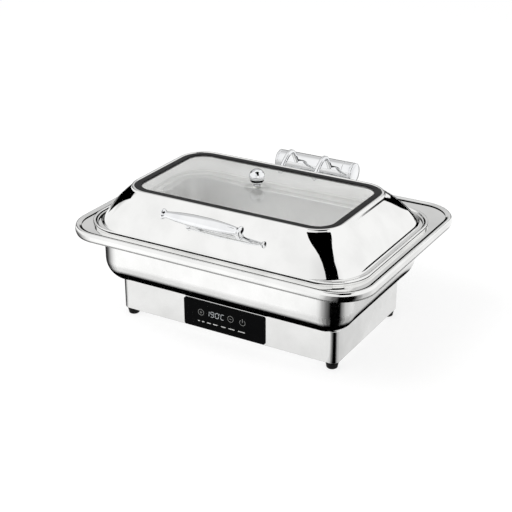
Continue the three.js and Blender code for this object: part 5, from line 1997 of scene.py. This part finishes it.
@dataclass
class Studio:
    """The camera, the floor, the lamp and the painted dark reflections and shade round the dish.

    Attributes:
        camera_place: Where the camera stands, in metres like the places and sizes of the lamp and the floor.
        azimuth: How far the camera is turned about Z, in radians.
        elevation: How far it looks down, in radians.
        roll: How far it is tilted about its own axis, in radians.
        focal_pixels: Its focal length in pixels of the picture.
        diffuse_level: How bright the air is as light on matt surfaces.
        floor_glow: The light that the floor adds, so that it runs out into the white air.
        floor_fibre: The size of the paper's fibres.
    """

    camera_place: tuple[float, float, float] = (1.1000673, -1.8988962, 1.1182170)
    azimuth: float = 0.532922699479408
    elevation: float = 0.4271551162582963
    roll: float = -0.004366762330809159
    focal_pixels: float = 1220.5108786
    frame_pixels: float = 512.0
    film_width: float = 36.0
    diffuse_level: float = 0.72
    lamp_power: float = 26.0
    lamp_size: tuple[float, float] = (1.6, 1.2)
    lamp_place: tuple[float, float, float] = (-0.9, -0.9, 2.1)
    lamp_aim: tuple[float, float, float] = (0.0, 0.0, 0.15)
    floor_reach: float = 9.0
    floor_glow: float = 0.78
    floor_fibre: float = 2.0
    # Painted dark reflections: strips far out that only reflections see
    reflected_shade_strips: tuple[ReflectedShadeStrip, ...] = (
        ReflectedShadeStrip("gap_right_front", (
            (-43.0, 28.0, 15.0, 1.0), (-41.0, 38.0, 16.5, 1.0), (-42.5, 47.0, 18.5, 1.0),
            (-43.0, 54.0, 25.5, 1.0), (-46.0, 58.5, 35.0, 1.0), (-52.0, 61.5, 50.0, 1.0),
            (-54.0, 64.0, 70.0, 1.0), (-51.0, 67.0, 82.0, 1.0), (-51.0, 73.0, 86.0, 1.0),
            (-51.0, 89.0, 86.0, 1.0),
        )),
        ReflectedShadeStrip("streak_right_back", (
            (104.0, -10.0, 4.0, 1.0), (92.0, 0.0, 5.0, 1.0), (82.0, 10.0, 5.0, 1.0), (76.0, 18.0, 4.0, 1.0),
            (70.0, 27.0, 3.0, 1.0),
        )),
        ReflectedShadeStrip("streak_left", (
            (132.0, -24.0, 3.0, 1.0), (139.0, -14.0, 6.0, 1.0), (146.0, -6.0, 8.5, 1.0), (154.0, 4.0, 9.0, 1.0),
            (161.0, 14.0, 8.0, 1.0), (169.0, 23.0, 7.0, 1.0), (180.0, 32.0, 5.0, 1.0),
        )),
        ReflectedShadeStrip("reflected_dark_band_back", (
            (121.0, -6.0, 22.0, 0.9), (121.0, 11.0, 22.0, 0.9), (121.0, 17.0, 22.0, 0.0),
        ), soft=4.0),
        ReflectedShadeStrip("reflected_faint_shade_front", (
            (-79.0, -4.0, 22.0, 0.2), (-79.0, 40.0, 22.0, 0.2), (-79.0, 60.0, 22.0, 0.05),
        ), (0.0, 1.0)),
        ReflectedShadeStrip("reflected_faint_shade_right", ((-22.0, -4.0, 9.0, 0.15), (-22.0, 60.0, 9.0, 0.1)), (1.0, 0.0)),
        ReflectedShadeStrip("reflected_faint_shade_back", (
            (134.0, 10.0, 38.0, 0.0), (134.0, 16.0, 38.0, 0.34), (136.0, 52.0, 42.0, 0.36),
            (138.0, 66.0, 44.0, 0.0),
        ), soft=10.0),
    )
    # Painted dark reflections of the floor, laid on it, that only reflections see
    floor_reflected_shades: tuple[FloorReflectedShade, ...] = (
        FloorReflectedShade(
            "floor_right_front", (220.0, -142.0),
            (
                (-122.0, 0.0), (-104.0, 0.25), (-90.0, 0.6), (-75.0, 0.85), (-60.0, 1.0), (-25.0, 1.0),
                (-15.0, 0.75), (0.0, 0.4), (30.0, 0.2), (60.0, 0.12), (76.0, 0.0),
            ),
            ((20.0, 1.0), (300.0, 1.0), (1200.0, 1.0), (2200.0, 1.0), (3200.0, 0.0)),
        ),
        FloorReflectedShade(
            "floor_left", (-222.0, -142.0),
            ((86.0, 0.0), (96.0, 1.0), (176.0, 0.97), (190.0, 0.85), (205.0, 0.5), (220.0, 0.2), (234.0, 0.0)),
            ((16.0, 1.0), (380.0, 1.0), (640.0, 0.8), (1500.0, 0.0)),
        ),
        FloorReflectedShade(
            "floor_far", (0.0, 0.0), ((72.0, 0.0), (80.0, 1.0), (148.0, 1.0), (156.0, 0.0)),
            ((500.0, 0.0), (800.0, 1.0), (7000.0, 1.0)),
        ),
        FloorReflectedShade(
            "floor_back", (232.0, 122.0), ((84.0, 0.0), (102.0, 1.0), (146.0, 1.0), (164.0, 0.0)),
            ((2.0, 1.0), (900.0, 1.0), (1700.0, 0.0)),
        ),
    )

    HEM_ENDS = (240.0, 268.0)

    def build(self) -> None:
        """Sets up the whole studio."""
        scene = bpy.context.scene
        scene.view_settings.view_transform = "Standard"
        self._camera()
        self._world()
        self._floor()
        self._lamp()
        for dark in self.reflected_shade_strips + self.floor_reflected_shades:
            dark.hang()
        self._painted_shade_rings()

    def _camera(self) -> None:
        """The camera at the photograph's place and angle."""
        data = bpy.data.cameras.new("camera")
        data.sensor_width = self.film_width
        data.lens = self.film_width * self.focal_pixels / self.frame_pixels
        data.clip_end = 50.0
        camera = linked("camera", data)
        sine, cosine = math.sin(self.azimuth), math.cos(self.azimuth)
        level = math.cos(self.elevation)
        back = Vector((sine * level, -cosine * level, math.sin(self.elevation)))
        right = Vector((cosine, sine, 0.0))
        turn = Matrix((right, back.cross(right), back)).transposed().to_4x4()
        camera.matrix_world = Matrix.Translation(self.camera_place) @ turn @ Matrix.Rotation(self.roll, 4, "Z")
        bpy.context.scene.camera = camera

    def _world(self) -> None:
        """White where the camera, metal or glass sees it, and a plainer level as light."""
        world = bpy.data.worlds.new("studio_air")
        bpy.context.scene.world = world
        world.use_nodes = True
        tree = world.node_tree
        tree.nodes.clear()
        rays = add(tree, "ShaderNodeLightPath")
        seen = add(
            tree, "ShaderNodeMath", {0: rays.outputs["Is Camera Ray"], 1: rays.outputs["Is Glossy Ray"]},
            operation="MAXIMUM",
        )
        shown = add(
            tree, "ShaderNodeMath", {0: seen.outputs[0], 1: rays.outputs["Is Transmission Ray"]},
            operation="MAXIMUM",
        )
        level = add(tree, "ShaderNodeMapRange", {0: shown.outputs[0], 3: self.diffuse_level, 4: 1.0})
        air = add(tree, "ShaderNodeBackground", {"Color": linear("#ffffff"), "Strength": level.outputs[0]})
        add(tree, "ShaderNodeOutputWorld", {"Surface": air.outputs[0]})

    def _floor(self) -> None:
        """A white floor that runs out into the air and keeps the dish's soft shadow."""
        reach = self.floor_reach
        data = bpy.data.meshes.new("floor")
        corners = [(-reach, -reach, 0.0), (reach, -reach, 0.0), (reach, reach, 0.0), (-reach, reach, 0.0)]
        data.from_pydata(corners, [], [(0, 1, 2, 3)])
        floor = linked("floor", data)
        paint = blank_material("paper, matt white")
        tree = paint.node_tree
        place = add(tree, "ShaderNodeTexCoord").outputs["Object"]
        fibres = add(
            tree, "ShaderNodeTexNoise", {"Vector": place, "Scale": per_mm(self.floor_fibre), "Detail": 3.0},
        )
        tone = add(
            tree, "ShaderNodeMix", {0: fibres.outputs[0], 6: linear("#8f8f8f"), 7: linear("#939393")},
            data_type="RGBA",
        )
        matt = add(tree, "ShaderNodeBsdfDiffuse", {"Color": tone.outputs[2]})
        white = add(tree, "ShaderNodeEmission", {"Color": linear("#ffffff"), "Strength": self.floor_glow})
        both = add(tree, "ShaderNodeAddShader", {0: matt.outputs[0], 1: white.outputs[0]})
        add(tree, "ShaderNodeOutputMaterial", {"Surface": both.outputs[0]})
        data.materials.append(paint)

    def _lamp(self) -> None:
        """One broad lamp above the left front."""
        data = bpy.data.lights.new("soft_box", "AREA")
        data.shape = "RECTANGLE"
        data.size, data.size_y = self.lamp_size
        data.energy = self.lamp_power
        lamp = linked("soft_box", data)
        lamp.location = self.lamp_place
        lamp.rotation_euler = (Vector(self.lamp_aim) - lamp.location).to_track_quat("-Z", "Y").to_euler()
        lamp.visible_glossy = False

    def _painted_shade_rings(self) -> None:
        """Painted shade that only reflections see, tucked in under the pan, the rim and the housing, on the hem
        and round the knob.
        """
        housing, basin, rim = HeatedBase().outline, PanStand().basin, PanStand().rim
        # Painted shade: dark rings that reflections show under the overhangs and in the gaps
        self._painted_shade_ring("painted_shade_under_pan", 80.0, [
            (housing.grown(13.0), 0.0), (housing.grown(16.0), 1.0), (basin.grown(-10.0), 1.0),
            (basin.grown(2.0), 1.0), (basin.grown(12.0), 0.4), (basin.grown(19.0), 0.1),
            (basin.grown(75.0), 0.0),
        ])
        self._painted_shade_ring("painted_shade_on_floor", 1.0, [
            (housing.grown(3.0), 0.14), (housing.grown(170.0), 0.14), (housing.grown(250.0), 0.0),
        ])
        self._painted_shade_ring("painted_shade_under_rim", 180.0, [
            (rim.grown(-14.0), 0.0), (rim.grown(-8.0), 0.6), (rim.grown(4.0), 0.6), (rim.grown(8.0), 0.0),
        ])
        self._painted_shade_ring("painted_shade_fence", 199.4, [(rim.grown(-9.4), 1.0)], 3.4)
        self._painted_shade_ring("painted_shade_under_housing", 12.4, [
            (housing.grown(-6.0), 0.8), (housing.grown(0.4), 0.8), (housing.grown(1.6), 0.0),
        ])
        lid = Lid()
        self._painted_shade_ring("painted_shade_on_hem", 203.8, [(lid.dome_base.mixed(lid.hem, 0.5), 1.0)], 5.0, self.HEM_ENDS)
        knob = Plan(9.0, 9.0, lid.window.centre_y, 9.0)
        self._painted_shade_ring("painted_shade_round_knob", 279.6, [
            (knob, 0.0), (knob.grown(4.0), 1.0), (knob.grown(14.0), 1.0), (knob.grown(17.0), 0.0),
        ])

    def _painted_shade_ring(
        self, name: str, height: float, bands: list[tuple[Plan, float]], stands: float = 0.0,
        ends: tuple[float, float] = (-1.0, 0.0),
    ) -> None:
        """Lays or stands a ring of painted shade that only reflections see.

        Args:
            name: Its name.
            height: How high it lies.
            bands: The plans it runs through, with how dark the painted shade is along each.
            stands: How much further up it goes along its last plan.
            ends: How far out towards the two ends it starts, and how far out it is whole.
        """
        rows: list[list[tuple[Vector, float]]] = []
        levels = [(plan, thickness, height) for plan, thickness in bands]
        if stands:
            levels.append((bands[-1][0], bands[-1][1], height + stands))
        for plan, thickness, level in levels:
            ring = plan.ring(level)
            rows.append([
                (point, thickness * min(1.0, max(0.0, (abs(point.x) - ends[0]) / (ends[1] - ends[0]))))
                for point in ring + ring[:1]
            ])
        Cloth(name, rows).hang()


def main() -> None:
    """Builds and dresses the dish and sets up the studio."""
    logging.basicConfig(level=logging.INFO, format="%(name)s %(message)s")
    Studio().build()
    base = HeatedBase()
    base.build()
    base.dress()
    PanStand().build()
    FoodPan().build()
    lid = Lid()
    lid.build()
    lid.dress()
    handle = Handle(lid)
    handle.build()
    handle.dress()
    hinge = BarrelHinge(lid)
    hinge.build()
    hinge.dress()


if __name__ == "__main__":
    main()
